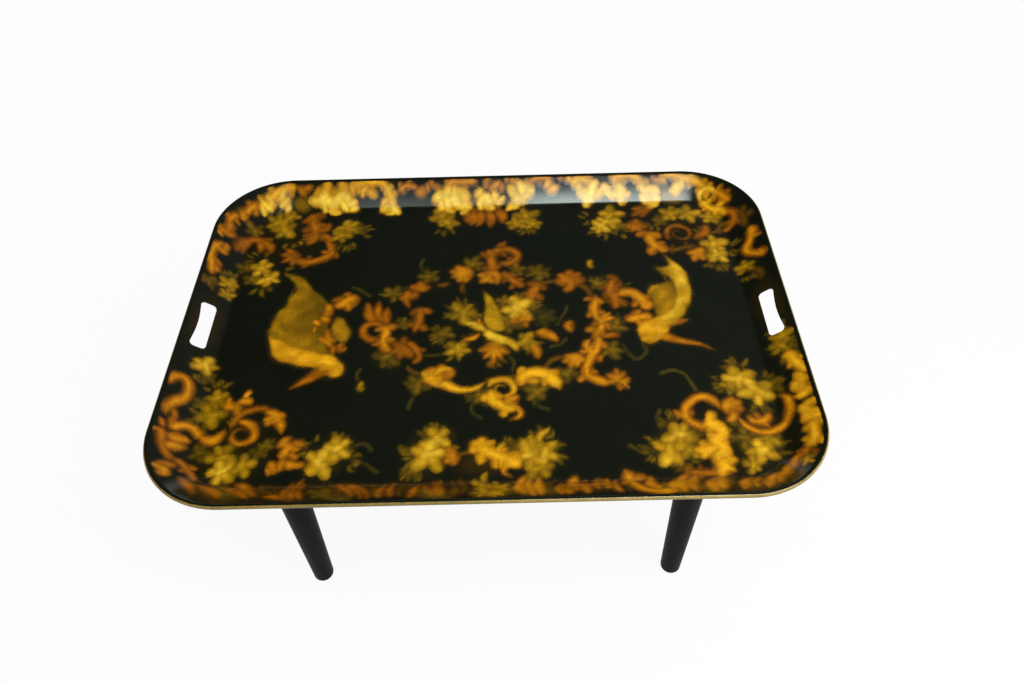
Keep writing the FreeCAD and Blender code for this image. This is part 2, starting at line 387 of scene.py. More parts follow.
def ribbon_swell(share):
    """Even, but narrower close to both ends."""
    return np.minimum(1, 0.35 + 5 * np.minimum(share, 1 - share))


def oval_swell(share):
    """Round, like an ellipse."""
    return np.sqrt(np.clip(1 - (2 * share - 1) ** 2, 0.02, 1))


def wavered(places):
    """Places shifted a little to and fro, so that what is painted there has unsteady edges."""
    x, y = places.T
    waver_x = 0.9 * np.sin(y / 8.3 + 1.4 * np.sin(x / 11.9)) + 0.5 * np.sin(x / 4.1 + y / 5.3)
    waver_y = 0.9 * np.sin(x / 7.7 + 1.4 * np.sin(y / 12.7)) + 0.5 * np.sin(y / 4.3 - x / 5.9)
    return places + np.column_stack((waver_x, waver_y))


def measure(places, line, widths):
    """How deep places lie inside a line of some width, and on which side of it, from -1 to 1."""
    widths = np.broadcast_to(widths, len(line))
    run = np.diff(line, axis=0)
    lengths = np.maximum(np.hypot(*run.T), 1e-6)
    offset = places[:, None, :] - line[:-1]
    along = np.clip((offset * run).sum(2) / lengths**2, 0, 1)
    gap = offset - along[..., None] * run
    distance = np.hypot(gap[..., 0], gap[..., 1])
    width = widths[:-1] + np.diff(widths) * along
    rows, best = np.arange(len(places)), np.argmax(width - distance, axis=1)
    distance, width, gap, run = distance[rows, best], width[rows, best], gap[rows, best], run[best]
    turn = np.sign(run[:, 0] * gap[:, 1] - run[:, 1] * gap[:, 0])
    return width - distance, np.clip(turn * distance / np.maximum(width, 0.5), -1, 1)


class Canvas:
    """Paint on the tray's points: pigment, whose alpha is half at a stroke's edge, and glaze under it."""

    edge = 5.5
    gleam = 0.8
    halo_reach = 7.0

    def __init__(self, places):
        self.places = wavered(places)
        self.pigment = np.zeros((len(places), 4))
        self.glaze = np.zeros((len(places), 4))
        x, y = places.T
        blotches = np.sin(x / 9.7 + 2 * np.sin(y / 14.3)) * np.sin(y / 8.9 + 2 * np.sin(x / 15.1))
        self.body = 0.8 + 0.2 * blotches
        self.random = np.random.default_rng(5)

    def near(self, line, reach):
        """The numbers of the points within reach of a line's box."""
        low, high = line.min(0) - reach, line.max(0) + reach
        inside = np.all((self.places >= low) & (self.places <= high), axis=1)
        return np.nonzero(inside)[0]

    def stroke(self, line, half_width, paint, swell=ribbon_swell, light=1, tone=1.0, halo=0.2, thin=0.0):
        """One brush stroke: thin and dark at its edges, thickest off its middle on the lit side."""
        line = np.asarray(line, float)
        steps = np.hypot(*np.diff(line, axis=0).T)
        widths = half_width * swell(np.concatenate(([0], np.cumsum(steps))) / steps.sum())
        chosen = self.near(line, self.halo_reach + widths.max())
        depth, side = measure(self.places[chosen], line, widths)
        thickness = thin + (1 - thin) * ramp(depth, -1.0, min(7.0, 0.9 * half_width))
        thickness = thickness * (1 - 0.35 * ramp(-side * light, -0.1, 0.9))
        self.lay(chosen, depth, shade(paint, tone * thickness * self.body[chosen]))
        self.haze(chosen, halo * ramp(depth, -self.halo_reach, 0.0), (paint[0] + OLIVE[0]) / 2)

    def fill(self, outline, paint, ridge, reach, tone=1.0):
        """A filled shape inside a smooth outline, thickest along a wavering ridge line."""
        loop = smooth_line([*outline, outline[0]])
        chosen = self.near(loop, self.halo_reach)
        places = self.places[chosen]
        depth = measure(places, loop, 0.0)[0]
        x, y = places.T[..., None]
        (x0, y0), (x1, y1) = loop[:-1].T, loop[1:].T
        rise = np.where(y1 == y0, 1e-9, y1 - y0)
        crossed = ((y0 > y) != (y1 > y)) & (x < x0 + (x1 - x0) * (y - y0) / rise)
        depth = np.where(crossed.sum(1) % 2 == 1, -depth, depth)
        from_ridge = -measure(wavered(places), smooth_line(ridge), 0.0)[0]
        thickness = (1 - 0.75 * ramp(from_ridge, 0, reach)) * (0.3 + 0.7 * ramp(depth, -0.8, 5.0))
        self.lay(chosen, depth, shade(paint, tone * thickness * self.body[chosen]))
        self.haze(chosen, 0.4 * ramp(depth, -self.halo_reach, 0.0), paint[0])

    def lay(self, chosen, depth, colour):
        """Lays pigment over what is there already."""
        cover = np.clip(0.5 + depth / self.edge / 2, 0, 1)
        old = self.pigment[chosen]
        bare = 1 - ramp(old[:, 3], 0.25, 0.6)[:, None]
        merged = colour + (np.maximum(colour, old[:, :3]) - colour) * self.gleam * (1 - bare)
        over = np.maximum(ramp(cover, 0.25, 0.75)[:, None], (cover > 0.02)[:, None] * bare)
        old[:, :3] += (merged - old[:, :3]) * over
        old[:, 3] = np.maximum(old[:, 3], cover)
        self.pigment[chosen] = old

    def haze(self, chosen, strength, colour):
        """A soft wash under the pigment."""
        old = self.glaze[chosen]
        total = np.maximum(old[:, 3] + strength, 1e-6)
        old[:, :3] += (colour - old[:, :3]) * (strength / total)[:, None]
        old[:, 3] = np.maximum(old[:, 3], strength)
        self.glaze[chosen] = old

    def wash(self, x, y, reach_x, reach_y, strength, colour):
        """A soft oval of glaze."""
        chosen = self.near(np.array([[x, y]]), np.array((reach_x, reach_y)))
        offset = (self.places[chosen] - (x, y)) / (reach_x, reach_y)
        self.haze(chosen, strength * ramp(1 - np.hypot(offset[:, 0], offset[:, 1]), 0, 0.8), colour)


def polar(x, y, length, angle):
    """The point at a distance and an angle in degrees from another."""
    return x + length * math.cos(math.radians(angle)), y + length * math.sin(math.radians(angle))


def dab(canvas, x, y, length, width, angle, paint, tone=1.0, halo=0.18, thin=0.0):
    """One press of a round brush: an oval about x, y."""
    ends = polar(x, y, -length / 2, angle), polar(x, y, length / 2, angle)
    canvas.stroke(smooth_line(ends), width / 2, paint, oval_swell, tone=tone, halo=halo, thin=thin)


def leaf(canvas, x, y, length, angle, half_width, paint=AMBER, bend=0.15, tone=1.0):
    """A bent leaf from its stalk at x, y."""
    middle = polar(*polar(x, y, length / 2, angle), bend * length, angle + 90)
    line = smooth_line(((x, y), middle, polar(x, y, length, angle)))
    canvas.stroke(line, 1.15 * half_width, paint, leaf_swell, 1 if bend >= 0 else -1, tone)


def fan(canvas, x, y, length, angle, spread, count, half_width, paint=AMBER):
    """Leaves spread like a shell from one point, the middle one on top."""
    for n in sorted(range(count), key=lambda k: -abs(k - (count - 1) / 2)):
        share = n / (count - 1) - 0.5
        size = length * (1 - 0.8 * share * share)
        leaf(canvas, x, y, size, angle + spread * share, half_width, paint, -0.25 * share)


def lumps(canvas, paint, places):
    """Round dabs run together, as x, y and size."""
    vary = canvas.random.uniform
    for x, y, size in places:
        width, angle, tone = size * vary(0.9, 1.05), vary(0, 180), vary(0.85, 1.15)
        dab(canvas, x, y, 1.1 * size, width, angle, paint, tone, thin=0.3)


def scroll(canvas, points, half_width, paint=AMBER, lobes=0, side=1, swell=ribbon_swell):
    """A curved band with rounded lobes along it, larger on one side, and a bright ridge."""
    line = smooth_line(points)
    vary = canvas.random.uniform
    for n in range(lobes):
        at = int((n + vary(0.3, 0.7)) / lobes * (len(line) - 3))
        run = line[at + 2] - line[at]
        heading = math.degrees(math.atan2(run[1], run[0]))
        for way, reach in ((-side, 0.6), (side, 1.0)):
            place = polar(*line[at], reach * half_width * vary(0.8, 1.2), heading + 90 * way)
            size = half_width * vary(1.3, 1.8)
            angle, tone = heading + vary(40, 80) * way, vary(0.65, 0.95)
            dab(canvas, *place, 1.1 * size, size, angle, paint, tone, thin=0.25)
    canvas.stroke(line, 1.05 * half_width, paint, swell, side)
    ridge = np.array((paint[1], paint[2], paint[2]))
    canvas.stroke(line[3:-3], 0.3 * half_width, ridge, leaf_swell, side, halo=0)


def volute(canvas, x, y, radius, turns, start, half_width, paint=AMBER, way=1):
    """A spiral that winds in from its rim to an eye."""
    shares = np.linspace(0, 1, int(26 * turns) + 6)
    angles = np.radians(start) + way * 2 * math.pi * turns * shares
    radii = radius * (1 - 0.75 * shares**1.3)
    line = np.column_stack((x + radii * np.cos(angles), y + radii * np.sin(angles)))
    canvas.stroke(line, half_width, paint, comma_swell, -way)


def bloom(canvas, x, y, radius, paint=YELLOW):
    """A ruffled flower: round petals about a brighter heart, all set in a soft glow."""
    petals = 5
    vary = canvas.random.uniform
    turn = vary(0, 360)
    canvas.wash(x, y, 2 * radius, 2 * radius, 0.7, paint[0])
    for n in range(petals):
        angle = turn + (n + vary(-0.2, 0.2)) * 360 / petals
        place = polar(x, y, 0.68 * radius * vary(0.85, 1.1), angle)
        size = radius * vary(0.95, 1.3)
        dab(canvas, *place, size, size * vary(0.9, 1.0), angle, paint, vary(0.55, 1.0), 0.3, 0.3)
    dab(canvas, x, y, radius, 0.95 * radius, turn, paint, 1.0, thin=0.4)


def spray(canvas, x, y, radius, count, start, sweep, paint=OLIVE):
    """Thin leaves that stand out from behind a flower."""
    vary = canvas.random.uniform
    for n in range(count):
        angle = start + sweep * (n + vary(0.2, 0.8)) / count
        length = radius * vary(0.7, 1.2)
        root = polar(x, y, 0.75 * radius, angle)
        angle, bend, tone = angle + vary(-20, 20), vary(-0.25, 0.25), vary(0.6, 1)
        leaf(canvas, *root, length, angle, 2.2 + 0.07 * radius, paint, bend, tone)


def tendril(canvas, points, strength=0.5):
    """A thin faint stem, as a soft line of glaze."""
    line = smooth_line(points)
    chosen = canvas.near(line, 5.2)
    depth = measure(canvas.places[chosen], line, 1.2)[0]
    canvas.haze(chosen, strength * ramp(depth, -3.2, 0.6), DIM_OLIVE[2])


def quills(canvas, roots, tips, paint, tone=0.4, half_width=1.6):
    """Fine lines between the feathers of a wing."""
    for root, tip in zip(roots, tips):
        canvas.stroke(smooth_line((root, tip)), half_width, paint, leaf_swell, tone=tone, halo=0)


def repeat(canvas, motif, rows):
    """Lays one motif several times, each row being the measures of one."""
    for row in rows:
        motif(canvas, *row)


def paint_left_bird(canvas):
    """The large bird at the left: a raised wing, a second wing behind, a bent neck and a forked tail."""
    second_wing = ((-208, 24), (-196, 21), (-186, 4), (-184, -12), (-190, -24), (-204, -20), (-210, -4))
    canvas.fill(second_wing, BIRD, ((-198, 12), (-192, -12)), 30, 0.9)
    wing = (
        (-284, 108), (-270, 106), (-256, 92), (-244, 76), (-231, 65), (-221, 53), (-211, 44), (-214, 10),
        (-216, -20), (-208, -50), (-250, -50), (-282, -38), (-294, -4), (-292, 12), (-289, 36), (-279, 46),
        (-275, 62), (-270, 82),
    )
    canvas.fill(wing, BIRD, ((-274, 84), (-284, 30), (-286, -10), (-250, -44)), 80, 0.86)
    tips = smooth_line(((-222, 46), (-236, 66), (-254, 88), (-272, 102)), 2)
    quills(canvas, straight((-226, -16), (-280, -4), len(tips) - 1), tips, BIRD)
    body = (
        (-294, -2), (-284, -12), (-272, -17), (-250, -29), (-230, -35), (-212, -42), (-200, -46),
        (-192, -54), (-186, -68), (-188, -79), (-202, -83), (-212, -76), (-226, -66), (-250, -60),
        (-270, -54), (-282, -42), (-290, -22),
    )
    canvas.fill(body, GOLD, ((-284, -20), (-262, -40), (-226, -50), (-198, -62), (-192, -74)), 24, 0.95)
    tail = ((-206, -68), (-220, -76), (-234, -88), (-252, -101))
    canvas.stroke(smooth_line(tail), 13, DEEP_AMBER, comma_swell, tone=1.1)
    lumps(canvas, AMBER, ((-212, -68, 14), (-202, -74, 10)))
    lumps(canvas, AMBER, ((-218, 40, 14), (-219, 30, 16), (-221, 20, 13), (-230, 14, 10), (-233, 2, 9)))
    scroll(canvas, ((-182, 60), (-194, 53), (-206, 42)), 9, AMBER, 2, -1)
    leaf(canvas, -230, -12, 34, -40, 7, AMBER, 0.1, 0.85)
    leaf(canvas, -216, 2, 30, -62, 6, AMBER, -0.1, 0.8)
    lumps(canvas, DEEP_AMBER, ((-194, -32, 14), (-203, -36, 12), (-189, -36, 9)))


def paint_right_bird(canvas):
    """The bird at the right: its long wing a raised crescent, its tail forked."""
    near_wing = (
        (221, 58), (228, 70), (240, 73), (251, 79), (262, 74), (262, 36), (246, 10), (230, 14), (224, 38),
    )
    canvas.fill(near_wing, BIRD, ((236, 66), (246, 40), (240, 18)), 36)
    wing = (
        (250, 136), (262, 125), (271, 111), (279, 96), (283, 78), (281, 50), (276, 30), (266, 12),
        (250, -4), (226, -14), (214, 2), (234, 14), (250, 28), (258, 46), (261, 68), (255, 85), (246, 95),
        (240, 106), (250, 108), (259, 110), (257, 122),
    )
    canvas.fill(wing, YELLOW, ((268, 108), (274, 78), (266, 40), (248, 12), (226, -2)), 30, 0.85)
    quills(canvas, straight((230, 12), (254, 32), 4), straight((228, 62), (256, 76), 4), BIRD)
    quills(canvas, straight((256, 62), (262, 84), 2), straight((244, 102), (262, 118), 2), BIRD)
    body = (
        (199, -12), (203, 0), (214, 6), (234, 8), (246, -4), (240, -18), (228, -32), (214, -38), (204, -28),
    )
    canvas.fill(body, GOLD, ((206, -8), (222, -4), (226, -18)), 30)
    tail = ((226, -24), (248, -31), (272, -38), (298, -51))
    canvas.stroke(smooth_line(tail), 9, AMBER, comma_swell, -1)
    leaf(canvas, 234, -8, 38, 16, 7, AMBER, 0.1, 0.85)
    lumps(canvas, GOLD, ((214, -26, 16), (216, -14, 18)))
    scroll(canvas, ((182, 54), (196, 58), (208, 50), (216, 38), (221, 24)), 10, AMBER, 1, -1)
    scroll(canvas, ((190, 7), (202, 11), (220, 10)), 9, AMBER, 1, -1)


def paint_middle_bird(canvas):
    """The small bird amid flowers in the middle."""
    repeat(canvas, bloom, (
        (-33, 26, 16, OLD_YELLOW), (-18, 18, 10, OLIVE), (40, 31, 18), (30, 4, 13, OLIVE),
        (46, 12, 12, AMBER), (52, -28, 13, OLD_YELLOW), (-38, -38, 13, OLD_YELLOW), (-60, -12, 13, OLIVE),
        (76, 14, 14, DIM_OLIVE), (24, 46, 10, OLIVE), (-26, -20, 9, DIM_OLIVE),
    ))
    repeat(canvas, spray, (
        (-34, 28, 16, 5, 60, 170), (42, 34, 18, 5, -10, 110), (54, -30, 13, 4, -110, 120),
        (-40, -40, 13, 4, 150, 150), (-60, -12, 13, 4, 100, 160), (12, -52, 12, 5, -140, 100),
    ))
    fan(canvas, 12, -26, 38, -98, 88, 5, 7)
    leaf(canvas, 10, -48, 26, -118, 5, DEEP_AMBER)
    wing = ((-5, 66), (6, 54), (16, 30), (24, 6), (22, -8), (4, -8), (-4, 8), (-4, 34))
    canvas.fill(wing, OLD_YELLOW, ((0, 50), (4, 20), (8, 0)), 40)
    quills(canvas, straight((2, -4), (18, 0), 2), straight((0, 48), (12, 28), 2), OLD_YELLOW, 0.5, 1.3)
    body = ((-8, -4), (6, -8), (20, -16), (34, -24), (44, -38), (38, -46), (26, -34), (10, -32), (-4, -20))
    canvas.fill(body, YELLOW, ((0, -14), (18, -22), (36, -36)), 16)
    repeat(canvas, leaf, (
        (-2, -10, 36, 150, 7, YELLOW, -0.08, 0.85), (-6, -8, 26, 104, 5, AMBER, 0.05),
        (-10, -14, 24, 196, 5), (64, -12, 34, -34, 8), (66, -14, 16, 8, 6, AMBER, 0.1),
        (58, -32, 28, -76, 8, AMBER, 0.1), (110, -12, 20, 84, 7, AMBER, 0.1),
    ))
    for points in (
        ((94, 0), (102, 16), (108, 34)), ((66, 2), (74, 12), (78, 30)), ((-58, 40), (-48, 26), (-36, 20)),
        ((30, -56), (34, -66), (32, -78)), ((-84, -48), (-66, -50), (-50, -44)),
        ((84, -40), (96, -34), (104, -26)),
    ):
        tendril(canvas, points)


def paint_cartouche_top(canvas):
    """The crest and the scrolls along the far side of the middle ring."""
    scroll(canvas, ((10, 104), (7, 122), (4, 138), (4, 150)), 9, DEEP_AMBER, 2)
    scroll(canvas, (
        (4, 148), (16, 150), (30, 150), (42, 140), (40, 127), (28, 121), (18, 126),
    ), 8, DEEP_AMBER, 2)
    leaf(canvas, 24, 146, 24, 82, 5, BROWN, 0.1)
    leaf(canvas, 36, 124, 20, -84, 5, OLIVE)
    fan(canvas, 8, 106, 30, 232, 70, 3, 9)
    leaf(canvas, 8, 106, 26, -84, 8)
    scroll(canvas, ((22, 104), (30, 92), (40, 82), (52, 74)), 8, DEEP_AMBER, 2, -1)
    fan(canvas, -24, 108, 30, 204, 100, 5, 9)
    leaf(canvas, -34, 88, 28, -84, 5, BROWN, -0.1)
    leaf(canvas, -54, 84, 20, 190, 5, BROWN)
    scroll(canvas, ((72, 80), (66, 70), (60, 58), (57, 48)), 9, DEEP_AMBER, 2)
    scroll(canvas, ((66, 78), (82, 80), (100, 84)), 4, BROWN)
    fan(canvas, 116, 74, 30, 92, 130, 5, 10, DEEP_AMBER)
    leaf(canvas, 116, 84, 24, -112, 8, DEEP_AMBER)
    scroll(canvas, ((124, 80), (138, 66), (146, 48)), 6, BROWN)
    fan(canvas, -94, 70, 20, 92, 130, 3, 8, DEEP_AMBER)
    leaf(canvas, -94, 86, 18, -86, 8, DEEP_AMBER)
    fan(canvas, -106, 54, 18, 110, 120, 3, 8, DEEP_AMBER)
    leaf(canvas, -110, 66, 30, -86, 6, DEEP_AMBER, -0.1)


def paint_cartouche_sides(canvas):
    """The scrolls at both ends of the middle ring."""
    for x, y, length, angle in (
        (-146, 10, 48, 118), (-140, 8, 46, 104), (-152, 6, 46, 106), (-134, 6, 36, 96),
    ):
        leaf(canvas, x, y, length, angle, 7, DEEP_AMBER, 0.08)
    scroll(canvas, (
        (-128, 8), (-136, 4), (-150, 10), (-166, 4), (-166, -10), (-154, -20), (-142, -14),
    ), 6, DEEP_AMBER)
    scroll(canvas, ((-138, 6), (-136, -8), (-140, -24), (-128, -42)), 8, AMBER, 2)
    fan(canvas, -106, -34, 24, 200, 190, 5, 8, DEEP_AMBER)
    repeat(canvas, scroll, (
        (((-106, -26), (-94, -36), (-90, -50), (-96, -60)), 6, DEEP_AMBER, 1),
        (((-92, 38), (-92, 22), (-95, 6), (-100, -10)), 9, DEEP_AMBER, 2, 1, leaf_swell),
        (((-104, -66), (-98, -74), (-86, -80)), 4, BROWN),
        (((150, 52), (146, 34), (148, 16), (154, 2), (148, -14), (140, -26)), 8, AMBER, 4, -1),
    ))
    leaf(canvas, 150, 0, 26, 48, 7, AMBER, 0.1)
    leaf(canvas, 152, 4, 22, 12, 6, AMBER, 0.1)
    repeat(canvas, scroll, (
        (((146, -20), (146, -38), (138, -50), (130, -40), (136, -28)), 7, AMBER, 2),
        (((140, -44), (134, -60), (129, -74), (130, -88), (142, -98), (158, -101)), 8.5, AMBER, 1, -1),
        (((154, -100), (166, -98), (174, -102), (178, -112)), 7, AMBER, 1, -1, comma_swell),
    ))
    fan(canvas, 166, -98, 20, 96, 90, 3, 7)
    leaf(canvas, 154, -24, 22, 4, 6, DEEP_AMBER)
    leaf(canvas, 144, -66, 14, 60, 5, DEEP_AMBER)
    scroll(canvas, ((182, 84), (172, 76), (170, 60), (176, 46), (172, 28)), 9, DEEP_AMBER, 4)
    scroll(canvas, ((170, 52), (182, 54), (196, 56)), 6, DEEP_AMBER, 1)


def paint_cartouche_front(canvas):
    """The bright scrolls along the near side of the middle ring."""
    scroll(canvas, (
        (-78, -78), (-68, -88), (-54, -98), (-36, -106), (-18, -106), (-2, -97),
    ), 11, GOLD, 0, -1, comma_swell)
    fan(canvas, -58, -92, 28, 112, 130, 4, 10)
    leaf(canvas, -68, -84, 26, 26, 6, GOLD, 0.2)
    scroll(canvas, ((-4, -98), (10, -90), (28, -88), (42, -92)), 3.5, BROWN)
    volute(canvas, 20, -107, 17, 1.35, 160, 7.5, GOLD, -1)
    scroll(canvas, ((5, -110), (8, -124), (20, -134), (36, -138)), 9, GOLD, 2, -1)
    fan(canvas, 22, -130, 20, 30, 100, 3, 7)
    repeat(canvas, scroll, (
        (((34, -134), (42, -144), (38, -152), (28, -156)), 6, AMBER, 0, 1, comma_swell),
        (((42, -102), (46, -90), (58, -81), (72, -83), (84, -93), (92, -108)), 9.5, GOLD, 2, -1),
        (((72, -76), (84, -62), (100, -54)), 4, BROWN),
    ))
    fan(canvas, 112, -52, 24, -90, 100, 4, 8)
    leaf(canvas, 102, -52, 16, -60, 5)


def paint_cartouche_flowers(canvas):
    """Dim flowers, buds and stems set about the middle ring."""
    for x, y, radius in (
        (-20, 122, 13), (-84, 99, 12), (-131, 66, 12), (-130, -50, 15), (-88, -97, 12), (-10, -117, 12),
        (60, -112, 13), (101, -85, 12), (70, 100, 14), (154, 77, 12), (172, -6, 11), (163, -46, 12),
        (-114, 8, 9), (42, 108, 9), (62, 38, 9),
    ):
        bloom(canvas, x, y, radius, OLIVE)
        spray(canvas, x, y, radius, 4, canvas.random.uniform(0, 360), 300, DIM_OLIVE)
    for x, y in ((147, 117), (-161, -97)):
        dab(canvas, x, y, 14, 11, 70, OLD_YELLOW)
        dab(canvas, x + 2, y - 6, 10, 8, 40, OLIVE)
    for points in (
        ((-88, -106), (-94, -120), (-96, -134)), ((-16, -128), (-18, -142), (-8, -152)),
        ((58, -124), (66, -136), (76, -142)), ((178, -40), (190, -62), (206, -52), (204, -36)),
        ((-92, 108), (-96, 120), (-92, 132)), ((-164, -88), (-166, -80), (-164, -72)),
        ((-190, 80), (-176, 74), (-164, 62)), ((200, 76), (192, 70), (186, 62)),
        ((176, 16), (184, 2), (182, -14)),
    ):
        tendril(canvas, points)


def paint_back_left(canvas):
    """Flowers and scrolls in the far left corner of the floor."""
    canvas.wash(-300, 190, 100, 80, 0.7, BROWN[0])
    repeat(canvas, spray, (
        (-292, 190, 18, 5, -110, 90), (-212, 180, 16, 6, -140, 110), (-194, 196, 14, 4, -60, 120),
        (-318, 92, 15, 5, -150, 110), (-330, 140, 14, 5, 40, 160), (-300, 116, 14, 3, -30, 70),
    ))
    repeat(canvas, bloom, (
        (-350, 204, 11, OLIVE), (-318, 224, 14, OLD_YELLOW), (-300, 233, 11, OLD_YELLOW),
        (-306, 206, 16, OLD_YELLOW), (-210, 208, 14, OLD_YELLOW), (-220, 190, 13, OLD_YELLOW),
        (-192, 204, 10, OLIVE), (-326, 124, 14), (-312, 101, 13), (-336, 102, 9, OLIVE),
        (-350, 126, 10, OLIVE),
    ))
    scroll(canvas, ((-272, 240), (-263, 218), (-259, 194), (-266, 172)), 11, DEEP_AMBER, 3)
    leaf(canvas, -258, 196, 30, 48, 8, DEEP_AMBER, -0.1)
    leaf(canvas, -250, 196, 34, -56, 6, DEEP_AMBER)
    arc = ((-240, 182), (-230, 166), (-231, 148), (-246, 136), (-264, 134), (-282, 142), (-294, 152))
    scroll(canvas, arc, 8.5, DEEP_AMBER, 2, -1)
    fan(canvas, -274, 150, 32, 196, 100, 4, 7.5, DEEP_AMBER)
    scroll(canvas, (
        (-366, 154), (-362, 174), (-350, 185), (-334, 182), (-322, 170), (-318, 156),
    ), 8.5, DEEP_AMBER, 1, -1)
    leaf(canvas, -340, 180, 26, -80, 7, DEEP_AMBER)
    leaf(canvas, -352, 180, 28, -104, 7, DEEP_AMBER, -0.1)


def paint_back_right(canvas):
    """Flowers and scrolls in the far right corner of the floor."""
    canvas.wash(296, 184, 95, 75, 0.7, BROWN[0])
    repeat(canvas, spray, (
        (172, 190, 14, 5, -160, 140), (160, 214, 14, 3, 120, 100), (196, 188, 12, 3, -90, 90),
        (328, 118, 14, 6, -150, 120), (344, 144, 14, 4, -60, 120), (322, 168, 14, 4, 40, 120),
        (252, 202, 12, 4, 170, 100),
    ))
    repeat(canvas, bloom, (
        (196, 196, 10, OLIVE), (186, 222, 15, OLD_YELLOW), (180, 208, 14), (168, 196, 12),
        (258, 206, 10, OLIVE), (276, 222, 13, OLD_YELLOW), (302, 222, 15, OLD_YELLOW),
        (334, 211, 12, OLD_YELLOW), (330, 152, 15), (330, 128, 13),
    ))
    fan(canvas, 250, 240, 40, 212, 50, 3, 8, DEEP_AMBER)
    fan(canvas, 222, 210, 30, -94, 80, 4, 9, DEEP_AMBER)
    volute(canvas, 284, 177, 19, 1.5, 210, 7, DEEP_AMBER, -1)
    scroll(canvas, ((240, 182), (239, 166), (246, 151), (260, 143)), 10, AMBER, 2, -1)
    scroll(canvas, ((258, 146), (272, 142), (290, 146), (302, 152)), 6, BROWN, 2)
    leaf(canvas, 326, 194, 38, -128, 9, DEEP_AMBER, 0.12)
    fan(canvas, 312, 146, 34, -122, 60, 3, 8)
    scroll(canvas, ((352, 200), (344, 188), (342, 176)), 6, BROWN, 1)


def paint_front_left(canvas):
    """Flowers and scrolls in the near left corner of the floor."""
    canvas.wash(-310, -190, 100, 70, 0.8, BROWN[0])
    repeat(canvas, spray, (
        (-340, -106, 14, 5, 40, 120), (-346, -140, 15, 5, 150, 160), (-326, -140, 14, 3, -60, 90),
        (-180, -188, 14, 7, -50, 190), (-204, -192, 14, 4, 90, 110), (-166, -206, 12, 4, -80, 110),
        (-268, -196, 10, 4, 20, 120),
    ))
    repeat(canvas, bloom, (
        (-342, -194, 11, OLIVE), (-340, -113, 12, OLD_YELLOW), (-341, -137, 16, OLD_YELLOW),
        (-355, -120, 9, OLIVE), (-288, -213, 14, OLD_YELLOW), (-314, -200, 15, OLD_YELLOW),
        (-311, -221, 14), (-270, -194, 9, OLIVE), (-262, -184, 8, OLIVE), (-178, -192, 14),
        (-196, -211, 17),
    ))
    scroll(canvas, ((-313, -160), (-309, -146), (-298, -134), (-284, -129), (-270, -133)), 6, DEEP_AMBER)
    scroll(canvas, ((-276, -132), (-264, -138), (-255, -150), (-249, -170)), 8.5, AMBER, 1, -1, leaf_swell)
    lumps(canvas, AMBER, ((-266, -147, 13), (-259, -150, 10)))
    volute(canvas, -298, -168, 18, 1.3, 100, 9, AMBER, -1)
    lumps(canvas, AMBER, (
        (-320, -124, 17), (-310, -130, 17), (-303, -118, 14), (-302, -107, 11), (-324, -116, 9),
    ))
    scroll(canvas, ((-380, -168), (-371, -160), (-361, -158), (-352, -164), (-346, -173)), 7)
    scroll(canvas, ((-348, -171), (-337, -177), (-326, -174), (-320, -160)), 9, AMBER, 0, 1, leaf_swell)
    lumps(canvas, AMBER, (
        (-243, -182, 15), (-234, -188, 18), (-240, -196, 15), (-226, -182, 12), (-230, -200, 12),
    ))
    lumps(canvas, AMBER, (
        (-252, -216, 14), (-242, -212, 14), (-232, -212, 15), (-222, -214, 13), (-256, -222, 9),
    ))
    for points in (((-168, -206), (-146, -212), (-128, -226)), ((-160, -190), (-148, -186), (-138, -194))):
        tendril(canvas, points)


def paint_front_right(canvas):
    """Flowers and scrolls in the near right corner of the floor."""
    canvas.wash(300, -190, 100, 70, 0.85, BROWN[0])
    repeat(canvas, spray, (
        (226, -172, 14, 5, 60, 120), (204, -204, 14, 5, 120, 130), (230, -212, 15, 5, -140, 110),
        (318, -90, 16, 6, 30, 130), (342, -110, 18, 6, -40, 110), (334, -130, 16, 5, -130, 90),
        (300, -106, 13, 4, 140, 100), (334, -204, 16, 6, -50, 120), (306, -182, 14, 5, 80, 120),
    ))
    repeat(canvas, bloom, (
        (240, -204, 12, OLD_YELLOW), (230, -183, 16), (217, -204, 17), (246, -186, 9, OLIVE),
        (306, -110, 11, OLD_YELLOW), (319, -98, 15), (336, -119, 18), (308, -188, 13, OLIVE),
        (334, -192, 11, OLD_YELLOW), (326, -209, 16), (310, -227, 10, OLD_YELLOW),
    ))
    arc = (
        (272, -172), (256, -170), (246, -160), (244, -146), (252, -133), (266, -127), (280, -133),
        (288, -146),
    )
    scroll(canvas, arc, 8, AMBER, 1)
    fan(canvas, 290, -144, 26, 6, 90, 4, 9)
    leaf(canvas, 304, -148, 22, -128, 7, AMBER, 0.1)
    scroll(canvas, (
        (262, -168), (278, -172), (282, -184), (272, -194), (280, -206), (270, -214), (276, -228),
        (288, -234),
    ), 10, GOLD, 4)
    fan(canvas, 272, -204, 28, 180, 70, 3, 8, GOLD)
    scroll(canvas, (
        (305, -158), (313, -171), (326, -181), (342, -182), (358, -172), (367, -155), (369, -140),
        (363, -130),
    ), 6.5, AMBER, 0, -1)
    scroll(canvas, ((318, -158), (326, -167), (338, -164), (346, -150)), 8, AMBER, 1, 1, leaf_swell)
    for points in (
        ((222, -88), (240, -84), (254, -94), (260, -116)), ((212, -146), (207, -158), (210, -172)),
        ((200, -206), (180, -204), (170, -196)),
    ):
        tendril(canvas, points, 0.7)


